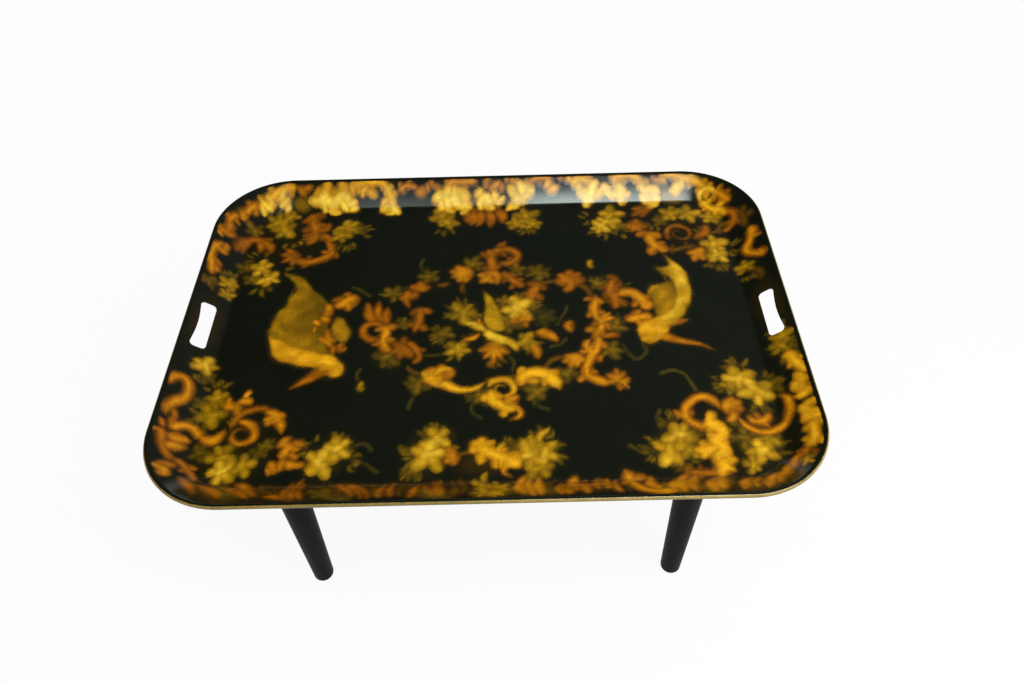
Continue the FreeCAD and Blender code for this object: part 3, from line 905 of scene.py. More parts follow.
def paint_garlands(canvas):
    """Bunches at the middle of the far side and of the near side."""
    canvas.wash(-4, -216, 50, 26, 0.5, BROWN[1])
    repeat(canvas, spray, (
        (-74, -206, 18, 6, 130, 120), (-64, -180, 15, 5, 30, 130), (-80, -216, 16, 5, 200, 80),
        (-56, -196, 14, 3, -50, 60), (62, -190, 15, 5, 40, 90), (72, -206, 14, 4, -60, 90),
        (34, -196, 12, 4, 90, 120), (-66, 206, 14, 4, -140, 100), (56, 204, 14, 4, -140, 100),
    ))
    repeat(canvas, bloom, (
        (-60, 214, 13, OLD_YELLOW), (-70, 230, 14, OLD_YELLOW), (58, 224, 15, OLD_YELLOW),
        (42, 208, 12, OLD_YELLOW), (66, 208, 12, OLD_YELLOW), (-59, -182, 15), (-70, -204, 19),
        (-88, -226, 9, OLIVE), (36, -196, 10, OLIVE), (60, -226, 13, OLD_YELLOW), (50, -206, 15),
        (68, -203, 15), (56, -190, 9, OLD_YELLOW),
    ))
    leaf(canvas, 62, -188, 24, 56, 5, YELLOW, 0.1, 0.8)
    for x, length, angle in ((-34, 32, 278), (-12, 40, 262), (-2, 42, 276), (12, 34, 290), (-22, 36, 262)):
        leaf(canvas, x, 242, length, angle, 9, DEEP_AMBER, 0.1)
    fan(canvas, -36, -204, 18, 196, 130, 4, 7)
    scroll(canvas, ((-34, -203), (-24, -202), (-14, -198)), 4, BROWN)
    fan(canvas, -6, -198, 16, 110, 160, 4, 8, GOLD)
    repeat(canvas, scroll, (
        (((-10, -194), (2, -200), (14, -206), (26, -212), (38, -222)), 10, GOLD, 3, -1),
        (((20, -206), (17, -220), (20, -232), (30, -237)), 5, AMBER, 0, 1, comma_swell),
        (((16, -202), (15, -194), (22, -189)), 4, OLD_YELLOW),
    ))


def paint_back_wall(canvas):
    """Arched scrolls along the far wall, amber at its top; at half its height the gold is paler and
    brightest, partly its own paint and partly a painted reflection of the lamps.
    """
    # Yellow glaze at half the wall's height, under the paler gold that partly paints the lamps' reflection.
    for x, reach in ((-285, 22), (-8, 36), (280, 30)):
        canvas.wash(x, 254, reach, 16, 0.8, OLD_YELLOW[1])
    scroll(canvas, ((-336, 244), (-334, 256), (-322, 266), (-306, 273), (-292, 275)), 7, GOLD, 3)
    lumps(canvas, AMBER, ((-284, 271, 13), (-275, 274, 11)))
    lumps(canvas, PALE_GOLD_AND_SHEEN, (
        (-342, 240, 14), (-337, 248, 16), (-333, 256, 13), (-315, 264, 13), (-311, 255, 15),
        (-307, 249, 10),
    ))
    lumps(canvas, GOLD, (
        (-246, 271, 18), (-232, 269, 15), (-220, 272, 18), (-206, 271, 16), (-260, 266, 15),
    ))
    lumps(canvas, PALE_GOLD_AND_SHEEN, (
        (-264, 257, 16), (-252, 260, 18), (-240, 256, 19), (-228, 260, 20), (-214, 259, 18),
        (-208, 253, 14), (-250, 249, 12), (-235, 244, 15), (-220, 250, 14), (-206, 246, 11),
    ))
    scroll(canvas, (
        (-206, 273), (-190, 279), (-174, 280), (-158, 275), (-149, 264), (-148, 252),
    ), 7, GOLD, 4)
    lumps(canvas, GOLD, ((-187, 272, 12), (-178, 266, 15), (-191, 266, 8)))
    lumps(canvas, PALE_GOLD_AND_SHEEN, (
        (-152, 268, 14), (-148, 258, 18), (-153, 247, 19), (-143, 245, 16), (-158, 255, 11),
        (-149, 237, 11),
    ))
    scroll(canvas, ((-136, 268), (-122, 274), (-108, 270)), 5, AMBER, 2)
    lumps(canvas, AMBER, ((-102, 266, 15), (-92, 272, 9), (-84, 276, 10), (-76, 271, 11)))
    scroll(canvas, ((-66, 268), (-54, 276), (-36, 278), (-16, 275)), 6.5, AMBER, 3)
    lumps(canvas, PALE_GOLD_AND_SHEEN, (
        (-74, 258, 18), (-62, 262, 18), (-60, 250, 20), (-48, 258, 22), (-38, 262, 18), (-37, 248, 19),
        (-58, 241, 13), (-36, 239, 13), (-72, 248, 13),
    ))
    lumps(canvas, AMBER, ((0, 276, 13), (12, 271, 14), (22, 269, 9), (30, 279, 9)))
    lumps(canvas, PALE_GOLD_AND_SHEEN, (
        (-14, 262, 12), (-4, 254, 19), (0, 246, 14), (13, 257, 15), (20, 252, 11), (-12, 249, 12),
    ))
    scroll(canvas, ((34, 278), (43, 275), (50, 269)), 5, AMBER, 1)
    lumps(canvas, PALE_GOLD_AND_SHEEN, (
        (40, 262, 18), (52, 266, 18), (62, 268, 16), (48, 254, 20), (60, 258, 14), (42, 246, 14),
        (34, 244, 12), (66, 263, 9),
    ))
    scroll(canvas, ((58, 270), (68, 277), (82, 280), (95, 276), (103, 267)), 6, AMBER, 3, -1)
    lumps(canvas, GOLD, ((101, 266, 15), (92, 272, 11)))
    lumps(canvas, DEEP_AMBER, ((112, 281, 10), (122, 277, 9)))
    scroll(canvas, ((130, 267), (138, 276), (152, 276), (164, 268)), 7, GOLD, 2)
    lumps(canvas, PALE_GOLD_AND_SHEEN, (
        (142, 264, 16), (152, 258, 20), (162, 264, 18), (150, 249, 13), (172, 258, 14), (184, 262, 17),
        (194, 258, 14), (204, 258, 20), (200, 268, 13), (212, 255, 11),
    ))
    scroll(canvas, ((194, 268), (196, 278), (212, 280), (228, 277), (237, 268), (240, 258)), 6.5, GOLD, 4)
    lumps(canvas, PALE_GOLD_AND_SHEEN, (
        (240, 262, 15), (252, 262, 18), (248, 250, 20), (238, 251, 13), (256, 253, 14), (249, 241, 12),
    ))
    scroll(canvas, ((252, 278), (262, 273), (272, 269)), 5, AMBER, 1)
    scroll(canvas, (
        (264, 279), (284, 279), (304, 275), (322, 267), (334, 257), (346, 250),
    ), 6.5, GOLD, 5, -1)
    lumps(canvas, PALE_GOLD_AND_SHEEN, ((290, 264, 16), (284, 259, 11), (298, 269, 12)))
    volute(canvas, 335, 247, 12, 1.0, 190, 6, PALE_GOLD_AND_SHEEN, -1)
    scroll(canvas, ((346, 250), (356, 241), (364, 230)), 7, AMBER, 2, -1)
    scroll(canvas, ((322, 242), (334, 231), (348, 222), (358, 212)), 6.5, GOLD, 2)


def paint_end_walls(canvas):
    """Scrolls up both end walls, and brown glaze about the hand holes."""
    for x, y in ((-376, 4), (378, 16)):
        canvas.wash(x, y, 26, 70, 0.3, BROWN[1])
    repeat(canvas, bloom, (
        (-364, 86, 10, OLD_YELLOW), (-362, 68, 8, OLD_YELLOW), (-384, 78, 8, OLIVE), (-363, -63, 11),
        (-358, -80, 8, OLIVE), (363, 96, 10, OLD_YELLOW), (381, -46, 11, OLD_YELLOW),
        (375, -60, 11, OLD_YELLOW), (388, -62, 8, OLIVE), (366, -236, 7, OLD_YELLOW),
    ))
    for x, y, start in ((-364, 92, 60), (-362, -72, 220), (366, 86, 230), (378, -70, 250), (378, -40, 60)):
        spray(canvas, x, y, 11, 4, start, 90)
    scroll(canvas, ((-350, 244), (-360, 235), (-370, 224)), 7, AMBER, 1)
    scroll(canvas, ((-372, 220), (-380, 212), (-384, 200)), 6, AMBER, 1)
    lumps(canvas, AMBER, (
        (-381, 194, 15), (-383, 183, 18), (-388, 174, 10), (-378, 177, 9), (-366, 222, 13),
    ))
    scroll(canvas, ((-384, 160), (-389, 146), (-391, 128), (-388, 110), (-386, 92)), 7, AMBER, 2)
    lumps(canvas, AMBER, ((-379, 152, 13), (-383, 142, 12), (-381, 106, 12)))
    leaf(canvas, -376, 62, 26, 96, 5, BROWN)
    scroll(canvas, (
        (346, 224), (358, 216), (366, 206), (366, 194), (358, 184), (348, 180),
    ), 7, DEEP_AMBER, 1)
    scroll(canvas, ((367, 212), (375, 200), (377, 184), (376, 172)), 6, BROWN, 1, -1)
    lumps(canvas, BROWN, ((384, 192, 11), (380, 204, 9)))
    scroll(canvas, (
        (383, 162), (380, 148), (373, 136), (371, 123), (378, 112), (388, 108), (394, 113),
    ), 7.5)
    lumps(canvas, AMBER, ((384, 157, 15), (383, 146, 14), (387, 110, 11)))
    leaf(canvas, 366, 90, 34, -68, 6, BROWN)
    scroll(canvas, (
        (-393, -108), (-390, -97), (-380, -92), (-373, -100), (-373, -114), (-380, -128), (-387, -140),
        (-387, -150),
    ), 7.5)
    lumps(canvas, DEEP_AMBER, ((-378, -146, 11), (-379, -156, 10), (-390, -176, 9), (-387, -164, 9)))
    scroll(canvas, ((-386, -172), (-382, -188), (-375, -202), (-366, -212)), 6, DEEP_AMBER)
    lumps(canvas, AMBER, (
        (-369, -178, 16), (-370, -190, 16), (-371, -221, 15), (-369, -231, 14), (-377, -226, 9),
    ))
    scroll(canvas, ((-366, -208), (-354, -216), (-345, -226), (-338, -236)), 6, DEEP_AMBER, 1)
    scroll(canvas, ((378, -74), (385, -88), (390, -104), (391, -112)), 7.5, GOLD, 1)
    lumps(canvas, GOLD, ((386, -118, 15), (383, -130, 18), (386, -140, 14), (378, -126, 10)))
    lumps(canvas, GOLD, (
        (388, -158, 14), (383, -167, 18), (386, -178, 16), (379, -174, 11), (391, -170, 11),
    ))
    scroll(canvas, ((384, -182), (384, -196), (380, -208), (372, -216)), 7.5, GOLD, 2)
    scroll(canvas, ((374, -212), (366, -224), (356, -234)), 6.5, DEEP_AMBER, 1)


def paint_front_wall(canvas):
    """Slanting leaves along the near wall, duller at the left."""
    for x in range(-340, 360, 40):
        canvas.wash(x, -258, 46, 30, 0.4, BROWN[0])
    for x in range(-352, 352, 9):
        slant = -46 if x < -40 else 74
        root = -242 if x < -40 else -276
        length, tone = canvas.random.uniform(26, 38), canvas.random.uniform(0.3, 0.8)
        leaf(canvas, x, root, length, slant, 5, BROWN, 0.1, tone)
    for x, y, length, angle, half_width, paint in (
        (-354, -236, 40, -48, 7, DEEP_AMBER), (-340, -240, 42, -44, 7, BROWN),
        (-330, -242, 44, -42, 8, DEEP_AMBER), (-312, -240, 44, -40, 8, BROWN),
        (-300, -246, 42, -36, 8, DEEP_AMBER), (-292, -238, 44, -40, 8, DEEP_AMBER),
        (-274, -244, 42, -40, 8, BROWN), (-262, -240, 34, -70, 6, BROWN),
        (-252, -268, 34, -14, 6, DEEP_AMBER), (-226, -274, 38, 84, 7, DEEP_AMBER),
        (-216, -276, 42, 88, 8, DEEP_AMBER), (-205, -276, 38, 100, 6, DEEP_AMBER),
        (-182, -240, 34, -60, 7, BROWN), (-172, -242, 40, -54, 8, DEEP_AMBER),
        (-160, -242, 42, -58, 8, DEEP_AMBER), (-148, -246, 36, -62, 6, DEEP_AMBER),
        (-128, -274, 30, 78, 6, BROWN), (-118, -276, 34, 84, 7, DEEP_AMBER),
        (-106, -276, 34, 88, 7, DEEP_AMBER), (-95, -274, 28, 96, 6, BROWN),
        (-84, -276, 32, 74, 7, DEEP_AMBER), (-74, -246, 34, -66, 7, DEEP_AMBER),
        (-62, -242, 38, -70, 7, DEEP_AMBER), (-52, -276, 38, 92, 7, DEEP_AMBER),
        (-40, -238, 34, -84, 7, BROWN), (-32, -236, 36, -80, 6, BROWN), (30, -242, 30, -84, 5, BROWN),
        (43, -276, 42, 86, 9, AMBER), (54, -278, 42, 94, 8, AMBER), (63, -276, 42, 90, 8, AMBER),
        (84, -276, 26, 70, 9, AMBER), (92, -276, 34, 66, 9, AMBER), (104, -268, 32, 92, 9, AMBER),
        (114, -276, 28, 84, 7, AMBER), (126, -266, 24, 80, 7, AMBER), (138, -266, 24, 84, 7, AMBER),
        (150, -276, 32, 90, 6, AMBER), (190, -268, 28, 88, 8, AMBER), (210, -276, 36, 66, 9, AMBER),
        (220, -278, 44, 72, 9, AMBER), (232, -278, 44, 74, 9, AMBER), (252, -278, 44, 62, 9, AMBER),
        (264, -274, 40, 70, 8, AMBER), (286, -276, 36, 56, 8, AMBER), (302, -270, 26, 64, 6, AMBER),
        (314, -272, 34, 50, 8, AMBER), (328, -266, 32, 48, 7, AMBER), (338, -256, 32, 52, 7, AMBER),
        (350, -244, 26, 56, 6, AMBER),
    ):
        leaf(canvas, x, y, length, angle, half_width, paint, 0.1, 0.95)
    repeat(canvas, scroll, (
        (((226, -238), (250, -236), (284, -240)), 6, DEEP_AMBER, 3),
        (((160, -231), (164, -244), (171, -260), (183, -273), (198, -276), (210, -268)), 9, AMBER, 2),
        (((80, -264), (100, -256), (124, -254), (150, -251)), 7, DEEP_AMBER, 4, -1),
    ))
    for x, y, radius in ((-5, -252, 11), (14, -255, 11), (-4, -268, 9), (12, -270, 8)):
        bloom(canvas, x, y, radius, OLD_YELLOW)
    leaf(canvas, -2, -244, 16, 80, 4, OLD_YELLOW)


PAINTERS = (
    paint_end_walls, paint_back_wall, paint_front_wall, paint_garlands, paint_back_left, paint_back_right,
    paint_front_left, paint_front_right, paint_cartouche_flowers, paint_cartouche_top, paint_cartouche_sides,
    paint_cartouche_front, paint_middle_bird, paint_left_bird, paint_right_bird,
)


def wall_reach(points):
    """How far each point lies from the rectangle that the tray's wall sections are measured from."""
    return np.hypot(*np.maximum(np.abs(points[:, :2]) - (hub_x, hub_y), 0).T)


def bead_polar(points):
    """Each point's distance from the middle line of the rolled rim, and its angle about that line."""
    across, above = wall_reach(points) - bead_hub_reach, points[:, 2] - bead_hub_height
    return np.hypot(across, above), np.degrees(np.arctan2(above, across))


def gild_rim(points, pigment):
    """Worn gilding on the outer face of the rolled rim, darker towards the left, and painted darker towards
    the rim's underside as shade; the rim's top stays black.
    """
    distance, angle = bead_polar(points)
    gilded = (np.abs(distance - bead_radius) < bead_play) & (angle > gilt_low) & (angle < gilt_high)
    angle = angle[gilded]
    cover = gilt_strength * ramp(angle, gilt_low, gilt_full_low) * ramp(-angle, -gilt_high, -gilt_full_high)
    bright = 0.55 + 0.45 * ramp(points[gilded, 0], -60, 90)
    # Painted shade: the gilding's tone falls from high on the rim's outer face down to its underside.
    pigment[gilded] = np.column_stack((shade(KHAKI, bright * ramp(angle, -60, 70)), cover))


def upper_face(points):
    """True for the points on the sheet's painted upper face."""
    reach, height = upper_section[: np.argmax(upper_section[:, 0] >= bead_hub_reach) + 1].T
    return points[:, 2] > np.interp(wall_reach(points), reach, height) - 0.5 * sheet_thickness


def read_values(items, name, width=1, kind=np.float32):
    """One property of all the points, corners or faces of a mesh."""
    values = np.empty(len(items) * width, kind)
    items.foreach_get(name, values)
    return values.reshape(-1, width).astype(float) if width > 1 else values


def turn_share(points):
    """How far round the tray each point lies, as a share of the whole turn."""
    return np.arctan2(points[:, 1] / half_width, points[:, 0] / half_length) / (2 * math.pi) + 0.5


def hole_side_places(corner, centre):
    """Places on the cut edges at the ends of the hand holes: a quarter of a strip for each end."""
    along = (np.abs(corner[:, 0]) - hub_x) / corner_radius
    quarter = 2.0 * (centre[:, 0] > 0) + (centre[:, 1] > 0)
    depth = corner[:, 2] * wall_run - np.abs(corner[:, 0]) * wall_rise
    upper_depth = bead_hub_height * wall_run - (hub_x + bead_hub_reach) * wall_rise + bead_radius
    return (along + quarter) / 4, 1 + (depth - upper_depth) / sheet_thickness


def lay_out_map(tray):
    """The map that colours are baked through: most of it is the painted face, the rest is kept small."""
    mesh = tray.data
    points = read_values(mesh.vertices, "co", 3) / MM
    corner = points[read_values(mesh.loops, "vertex_index", kind=np.int32)]
    face = np.repeat(np.arange(len(mesh.polygons)), read_values(mesh.polygons, "loop_total", kind=np.int32))
    centre = (read_values(mesh.polygons, "center", 3) / MM)[face]
    facing = read_values(mesh.polygons, "normal", 3)[face, 2]
    distance, angle = bead_polar(corner)
    centre_distance, centre_angle = bead_polar(centre)
    rim = (centre_distance < bead_radius + bead_play) & (centre_angle > -165) & (centre_angle < 60)
    rim_run = np.radians(80 - angle) + 1 - distance / bead_radius
    turn = turn_share(corner)
    turn += np.round(turn_share(centre) - turn)
    plan = (corner[:, :2] / (half_length, half_width) + 1).T / 2
    hole_side = (np.abs(facing) < 0.3) & (centre_distance > 2 * bead_radius)
    place = np.zeros((len(corner), 2))
    for chosen, (along, across), (low, high) in (
        (facing > 0, plan, painted_strip),
        (facing <= 0, plan, underside_strip),
        (rim, (turn, rim_run / 4.8), rim_strip),
        (centre_distance < 0.7 * bead_radius, (turn, (angle + 180) / 360), curl_strip),
        (hole_side, hole_side_places(corner, centre), hole_strip),
    ):
        strip = np.column_stack((map_edge + map_width * along, low + (high - low) * across))
        place[chosen] = strip[chosen]
    layer = mesh.uv_layers.new(name="OFBake")
    layer.uv.foreach_set("vector", place.astype(np.float32).ravel())


def paint_tray(tray):
    """Lays the whole ornament on the tray and stores it as two colour attributes."""
    points = read_values(tray.data.vertices, "co", 3) / MM
    painted = np.nonzero(upper_face(points))[0]
    canvas = Canvas(points[painted, :2])
    for painter in PAINTERS:
        painter(canvas)
    pigment, glaze = np.zeros((2, len(points), 4))
    pigment[painted], glaze[painted] = canvas.pigment, canvas.glaze
    margin = ramp(bead_hub_reach - wall_reach(points), *bare_margin)
    pigment[:, 3] *= margin
    glaze[:, 3] *= margin
    gild_rim(points, pigment)
    for name, layer in (("pigment", pigment), ("glaze", glaze)):
        attribute = tray.data.color_attributes.new(name, "FLOAT_COLOR", "POINT")
        attribute.data.foreach_set("color", layer.astype(np.float32).ravel())


# Materials

class Nodes:
    """A node tree, with short calls to add nodes and join them."""

    def __init__(self, owner):
        owner.use_nodes = True
        self.tree = owner.node_tree

    def add(self, kind, inputs=None, **settings):
        """A new node with its settings made and its inputs set or linked."""
        node = self.tree.nodes.new(kind)
        for key, value in settings.items():
            setattr(node, key, value)
        for key, value in (inputs or {}).items():
            self.feed(node.inputs[key], value)
        return node

    def feed(self, socket, value):
        """Links an output to a socket, or sets the socket's own value."""
        if isinstance(value, bpy.types.NodeSocket):
            self.tree.links.new(value, socket)
        else:
            socket.default_value = value

    def span(self, value, low, high, to_low=0.0, to_high=1.0, smooth=False):
        """A value carried from one range to another."""
        inputs = {"Value": value, "From Min": low, "From Max": high, "To Min": to_low, "To Max": to_high}
        kind = "SMOOTHSTEP" if smooth else "LINEAR"
        return self.add("ShaderNodeMapRange", inputs, interpolation_type=kind).outputs[0]

    def math(self, operation, first, second):
        """Two values brought together by one operation."""
        return self.add("ShaderNodeMath", {0: first, 1: second}, operation=operation).outputs[0]

    def white_rays(self):
        """1 for the rays that see the background: straight from the camera, mirrored or passed on."""
        path = self.add("ShaderNodeLightPath").outputs
        seen = self.math("MAXIMUM", path["Is Camera Ray"], path["Is Glossy Ray"])
        return self.math("MAXIMUM", seen, path["Is Transmission Ray"])

    def blend_surfaces(self, share, first, second, output):
        """Mixes two surfaces and makes the mix what the tree shows."""
        blend = self.add("ShaderNodeMixShader", {0: share, 1: first.outputs[0], 2: second.outputs[0]})
        self.feed(self.tree.nodes[output].inputs["Surface"], blend.outputs[0])


class Shader(Nodes):
    """A material's nodes; place is where a point lies on its own object."""

    def __init__(self, name):
        self.material = bpy.data.materials.new(name)
        super().__init__(self.material)
        self.surface = self.tree.nodes["Principled BSDF"]
        self.place = self.add("ShaderNodeTexCoord").outputs["Object"]

    def set(self, **values):
        """Sets or links the surface's own sockets, named with spaces as underscores."""
        for key, value in values.items():
            self.feed(self.surface.inputs[key.replace("_", " ")], value)

    def noise(self, scale, detail=3.0, roughness=0.55, stretch=None):
        """Cloudy noise, drawn out along an object's axes where it is stretched."""
        place = self.place
        if stretch:
            place = self.add("ShaderNodeMapping", {"Vector": place, "Scale": stretch}).outputs[0]
        inputs = {"Vector": place, "Scale": scale, "Detail": detail, "Roughness": roughness}
        return self.add("ShaderNodeTexNoise", inputs).outputs["Fac"]

    def mix(self, share, first, second, blend="MIX"):
        """Two colours mixed by a share."""
        node = self.add("ShaderNodeMix", data_type="RGBA", blend_type=blend)
        for name, value in (("Factor_Float", share), ("A_Color", first), ("B_Color", second)):
            self.feed(next(s for s in node.inputs if s.identifier == name), value)
        return next(s for s in node.outputs if s.identifier == "Result_Color")

    def bump(self, height, strength, distance):
        """A normal that follows small heights."""
        inputs = {"Height": height, "Strength": strength, "Distance": distance}
        return self.add("ShaderNodeBump", inputs).outputs[0]

    def edges(self, radius):
        """Near 1 along outer edges, 0 on flat faces."""
        rounded = self.add("ShaderNodeBevel", {"Radius": radius}, samples=4).outputs[0]
        true_normal = self.add("ShaderNodeNewGeometry").outputs["Normal"]
        dot = self.add("ShaderNodeVectorMath", {0: rounded, 1: true_normal}, operation="DOT_PRODUCT")
        return self.span(dot.outputs["Value"], 0.995, 0.86)


def solid(red, green, blue):
    """A colour as it looks on screen, in the form that a shader's socket takes."""
    return (*[float(c) for c in srgb(red, green, blue)], 1.0)


def painted_lacquer():
    """Black lacquer with the painted ornament, brush grain and light wear."""
    shader = Shader("painted_lacquer")
    pigment = shader.add("ShaderNodeAttribute", attribute_name="pigment").outputs
    glaze = shader.add("ShaderNodeAttribute", attribute_name="glaze").outputs
    broad, patches = shader.noise(14, 4), shader.noise(70, 4)
    brush, fine = shader.noise(260, 4, 0.6), shader.noise(900, 2, 0.5)
    ground = shader.mix(broad, solid(10, 14, 7), solid(18, 22, 12))
    wash = shader.math("MULTIPLY", glaze["Alpha"], shader.span(brush, 0.2, 0.8, 0.5, 1.3))
    ground = shader.mix(wash, ground, glaze["Color"])
    frayed = shader.span(fine, 0.25, 0.75, -0.06, 0.06)
    frayed = shader.math("ADD", shader.span(brush, 0.2, 0.8, -0.1, 0.1), frayed)
    worn = shader.math("SUBTRACT", frayed, shader.span(patches, 0.6, 0.8, 0.0, 0.3))
    cover = shader.span(shader.math("ADD", pigment["Alpha"], worn), 0.3, 0.68, smooth=True)
    blotches = shader.span(patches, 0.3, 0.7, 0.76, 1.16)
    streaks = shader.math("MULTIPLY", shader.span(brush, 0.25, 0.75, 0.82, 1.14), blotches)
    gold = shader.mix(1.0, pigment["Color"], streaks, "MULTIPLY")
    shader.set(Base_Color=shader.mix(cover, ground, gold), Specular_IOR_Level=0.4)
    normal = shader.add("ShaderNodeNewGeometry").outputs["Normal"]
    upward = shader.add("ShaderNodeSeparateXYZ", {0: normal}).outputs["Z"]
    dull_underside = shader.span(upward, -0.1, -0.5, 0.0, 0.32)
    rough = shader.math("ADD", shader.span(broad, 0.3, 0.7, 0.08, 0.12), dull_underside)
    shader.set(Roughness=shader.math("ADD", rough, shader.math("MULTIPLY", cover, 0.04)))
    relief = shader.math("ADD", shader.math("MULTIPLY", cover, 0.5), shader.math("MULTIPLY", brush, 0.3))
    shader.set(Normal=shader.bump(relief, 0.2, 0.0002))
    return shader.material


def ebonised_wood(name, stretch):
    """Black stained and waxed wood, its grain showing faintly and its edges rubbed brown."""
    shader = Shader(name)
    grain = shader.noise(1.0, 6, 0.6, stretch)
    broad = shader.noise(9, 3)
    wear = shader.math("MULTIPLY", shader.edges(0.0025), shader.span(shader.noise(60, 4), 0.5, 0.72))
    body = shader.mix(grain, solid(9, 11, 10), solid(29, 32, 30))
    body = shader.mix(shader.span(broad, 0.35, 0.7, 0, 0.35), body, solid(22, 20, 17))
    shader.set(Base_Color=shader.mix(wear, body, solid(66, 51, 36)), Specular_IOR_Level=0.03)
    shader.set(Roughness=shader.span(grain, 0.3, 0.7, 0.4, 0.58), Normal=shader.bump(grain, 0.22, 0.0004))
    return shader.material


def bare_wood():
    """Plain beech of the corner blocks."""
    shader = Shader("bare_wood")
    grain = shader.noise(1.0, 6, 0.6, (160, 160, 22))
    flecks = shader.span(shader.noise(1.0, 2, 0.5, (700, 700, 130)), 0.6, 0.75)
    body = shader.mix(grain, solid(146, 106, 66), solid(198, 160, 112))
    shader.set(Base_Color=shader.mix(flecks, body, solid(120, 80, 48)), Specular_IOR_Level=0.3)
    shader.set(Roughness=shader.span(grain, 0.3, 0.7, 0.55, 0.75), Normal=shader.bump(grain, 0.3, 0.0005))
    return shader.material


def pressed_felt():
    """Dark green felt with matted fibres."""
    shader = Shader("pressed_felt")
    fibres = shader.noise(1400, 5, 0.7)
    tufts = shader.noise(180, 3)
    body = shader.mix(fibres, solid(28, 46, 34), solid(62, 84, 64))
    shader.set(Base_Color=shader.mix(shader.span(tufts, 0.4, 0.7, 0, 0.4), body, solid(24, 38, 30)))
    shader.set(Roughness=shader.span(fibres, 0.2, 0.8, 0.85, 1.0), Normal=shader.bump(fibres, 0.6, 0.0006))
    shader.set(Specular_IOR_Level=0.2, Sheen_Weight=0.3)
    return shader.material


def worn_metal(name, bright, dull, rough_low, rough_high):
    """Bare metal, scuffed and dulled in patches."""
    shader = Shader(name)
    patches = shader.noise(220, 4, 0.6)
    scuffs = shader.noise(1.0, 3, 0.6, (2600, 400, 900))
    body = shader.mix(shader.span(patches, 0.35, 0.68), solid(*bright), solid(*dull))
    shader.set(Base_Color=body, Metallic=1.0)
    shader.set(Roughness=shader.span(patches, 0.3, 0.7, rough_low, rough_high))
    shader.set(Normal=shader.bump(scuffs, 0.2, 0.0002))
    return shader.material


def dress_stand():
    """Gives every node of the stand, and the rim's wire, its finish."""
    upright = ebonised_wood("ebonised_wood_upright", (420, 420, 16))
    lengthwise = ebonised_wood("ebonised_wood_lengthwise", (16, 420, 420))
    crosswise = ebonised_wood("ebonised_wood_crosswise", (420, 16, 420))
    block, felt = bare_wood(), pressed_felt()
    screw = worn_metal("screw_steel", (178, 174, 164), (120, 116, 108), 0.32, 0.5)
    glide = worn_metal("glide_steel", (200, 200, 198), (128, 126, 122), 0.2, 0.45)
    wire = worn_metal("iron_wire", (120, 116, 110), (74, 58, 46), 0.4, 0.65)
    finishes = (
        ("leg_", upright), ("apron_front", lengthwise), ("apron_back", lengthwise), ("apron_", crosswise),
        ("corner_block_screws", screw), ("corner_block_", block), ("felt_strip_", felt),
        ("foot_glide_", glide), ("rim_wire", wire),
    )
    for name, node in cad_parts.items():
        for start, material in finishes:
            if name.startswith(start):
                node.data.materials.clear()
                node.data.materials.append(material)
                break


# Stage: floor, light and camera

def make_world():
    """Even light from all round; the room that is seen is white under a dim ceiling, paler to the right."""
    world = bpy.data.worlds.new("studio")
    nodes = Nodes(world)
    ambient = nodes.tree.nodes["Background"]
    nodes.feed(ambient.inputs["Color"], white)
    nodes.feed(ambient.inputs["Strength"], ambient_strength)
    ray = nodes.add("ShaderNodeTexCoord").outputs["Generated"]
    direction = nodes.add("ShaderNodeSeparateXYZ", {0: ray}).outputs
    ceiling = nodes.span(direction["X"], -ceiling_spread, ceiling_spread, ceiling_left, ceiling_right)
    seen = nodes.add("ShaderNodeLightPath").outputs["Is Camera Ray"]
    wall_top = nodes.span(seen, 0, 1, 0.0, math.sin(seen_wall_top))
    wall_end = nodes.span(seen, 0, 1, math.sin(mirrored_wall_end), math.sin(seen_wall_end))
    glow = nodes.span(direction["Z"], wall_top, wall_end, 1.0, ceiling)
    room = nodes.add("ShaderNodeBackground", {"Color": white, "Strength": glow})
    nodes.blend_surfaces(nodes.white_rays(), ambient, room, "World Output")
    bpy.context.scene.world = world


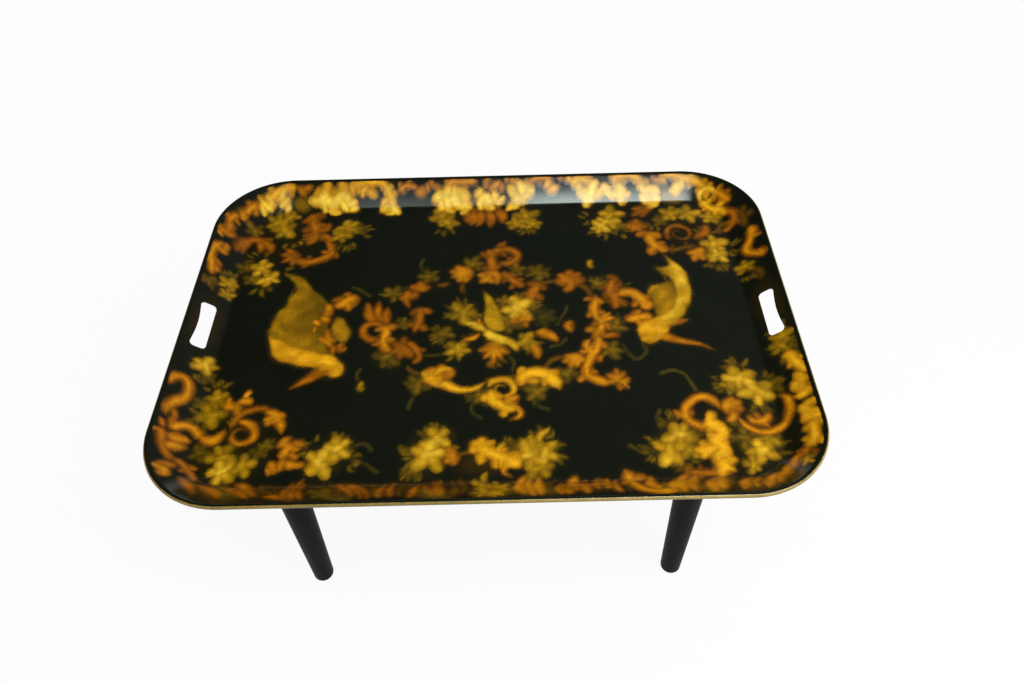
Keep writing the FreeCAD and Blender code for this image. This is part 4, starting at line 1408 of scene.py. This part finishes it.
def make_floor():
    """A pale floor that keeps a soft shadow near the table and fades to white further off."""
    mesh = bmesh.new()
    bmesh.ops.create_grid(mesh, x_segments=2, y_segments=2, size=floor_reach)
    floor = finished_object(mesh, "studio_floor")
    shader = Shader("pale_floor")
    pale = shader.mix(shader.noise(3, 2), (0.9, 0.9, 0.9, 1), (0.94, 0.94, 0.94, 1))
    shader.set(Base_Color=pale, Roughness=0.9)
    bright = shader.add("ShaderNodeEmission", {"Color": white, "Strength": 1.0})
    distance = shader.add("ShaderNodeVectorMath", {0: shader.place}, operation="LENGTH").outputs["Value"]
    share = shader.span(distance, shadow_reach, fade_reach, shadow_whiteness, 1.0)
    share = shader.math("MULTIPLY", shader.white_rays(), share)
    shader.blend_surfaces(share, shader.surface, bright, "Material Output")
    floor.data.materials.append(shader.material)


def make_light(name, place, target, size, size_y, power, colour=(1, 1, 1)):
    """A rectangular soft lamp that faces a point."""
    data = bpy.data.lights.new(name, "AREA")
    data.shape = "RECTANGLE"
    data.size, data.size_y, data.energy, data.color = size, size_y, power, colour
    lamp = bpy.data.objects.new(name, data)
    bpy.context.scene.collection.objects.link(lamp)
    lamp.location = place
    lamp.rotation_euler = (Vector(target) - Vector(place)).to_track_quat("-Z", "Y").to_euler()


def make_camera():
    """The camera at the photograph's place and angle."""
    ahead = Vector((
        math.sin(camera_yaw) * math.cos(camera_pitch),
        math.cos(camera_yaw) * math.cos(camera_pitch),
        -math.sin(camera_pitch),
    ))
    level = Vector((math.cos(camera_yaw), -math.sin(camera_yaw), 0))
    upright = level.cross(ahead)
    right = math.cos(camera_roll) * level + math.sin(camera_roll) * upright
    up = math.cos(camera_roll) * upright - math.sin(camera_roll) * level
    data = bpy.data.cameras.new("camera")
    data.sensor_width = 36.0
    data.lens = focal_px / image_width_px * data.sensor_width
    camera = bpy.data.objects.new("camera", data)
    bpy.context.scene.collection.objects.link(camera)
    turn = Matrix((right, up, -ahead)).transposed().to_4x4()
    camera.matrix_world = Matrix.Translation(camera_place) @ turn
    bpy.context.scene.camera = camera


tray = make_tray()
paint_tray(tray)
lay_out_map(tray)
tray.data.materials.clear()
tray.data.materials.append(painted_lacquer())
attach(tray, "tray")
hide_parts("tray_pan")
dress_stand()
make_floor()
make_world()
make_light("key", key_place, key_target, *key_size, key_power)
for side, x, width, power in (("right", 0.495, 0.81, 17), ("left", -0.28, 0.74, 2.8)):
    place, target = (x, softbox_y, softbox_height), (x, softbox_y + softbox_lean, 0)
    make_light("softbox_" + side, place, target, width, softbox_depth, power, softbox_tint)
make_camera()
bpy.context.scene.view_settings.view_transform = "Standard"
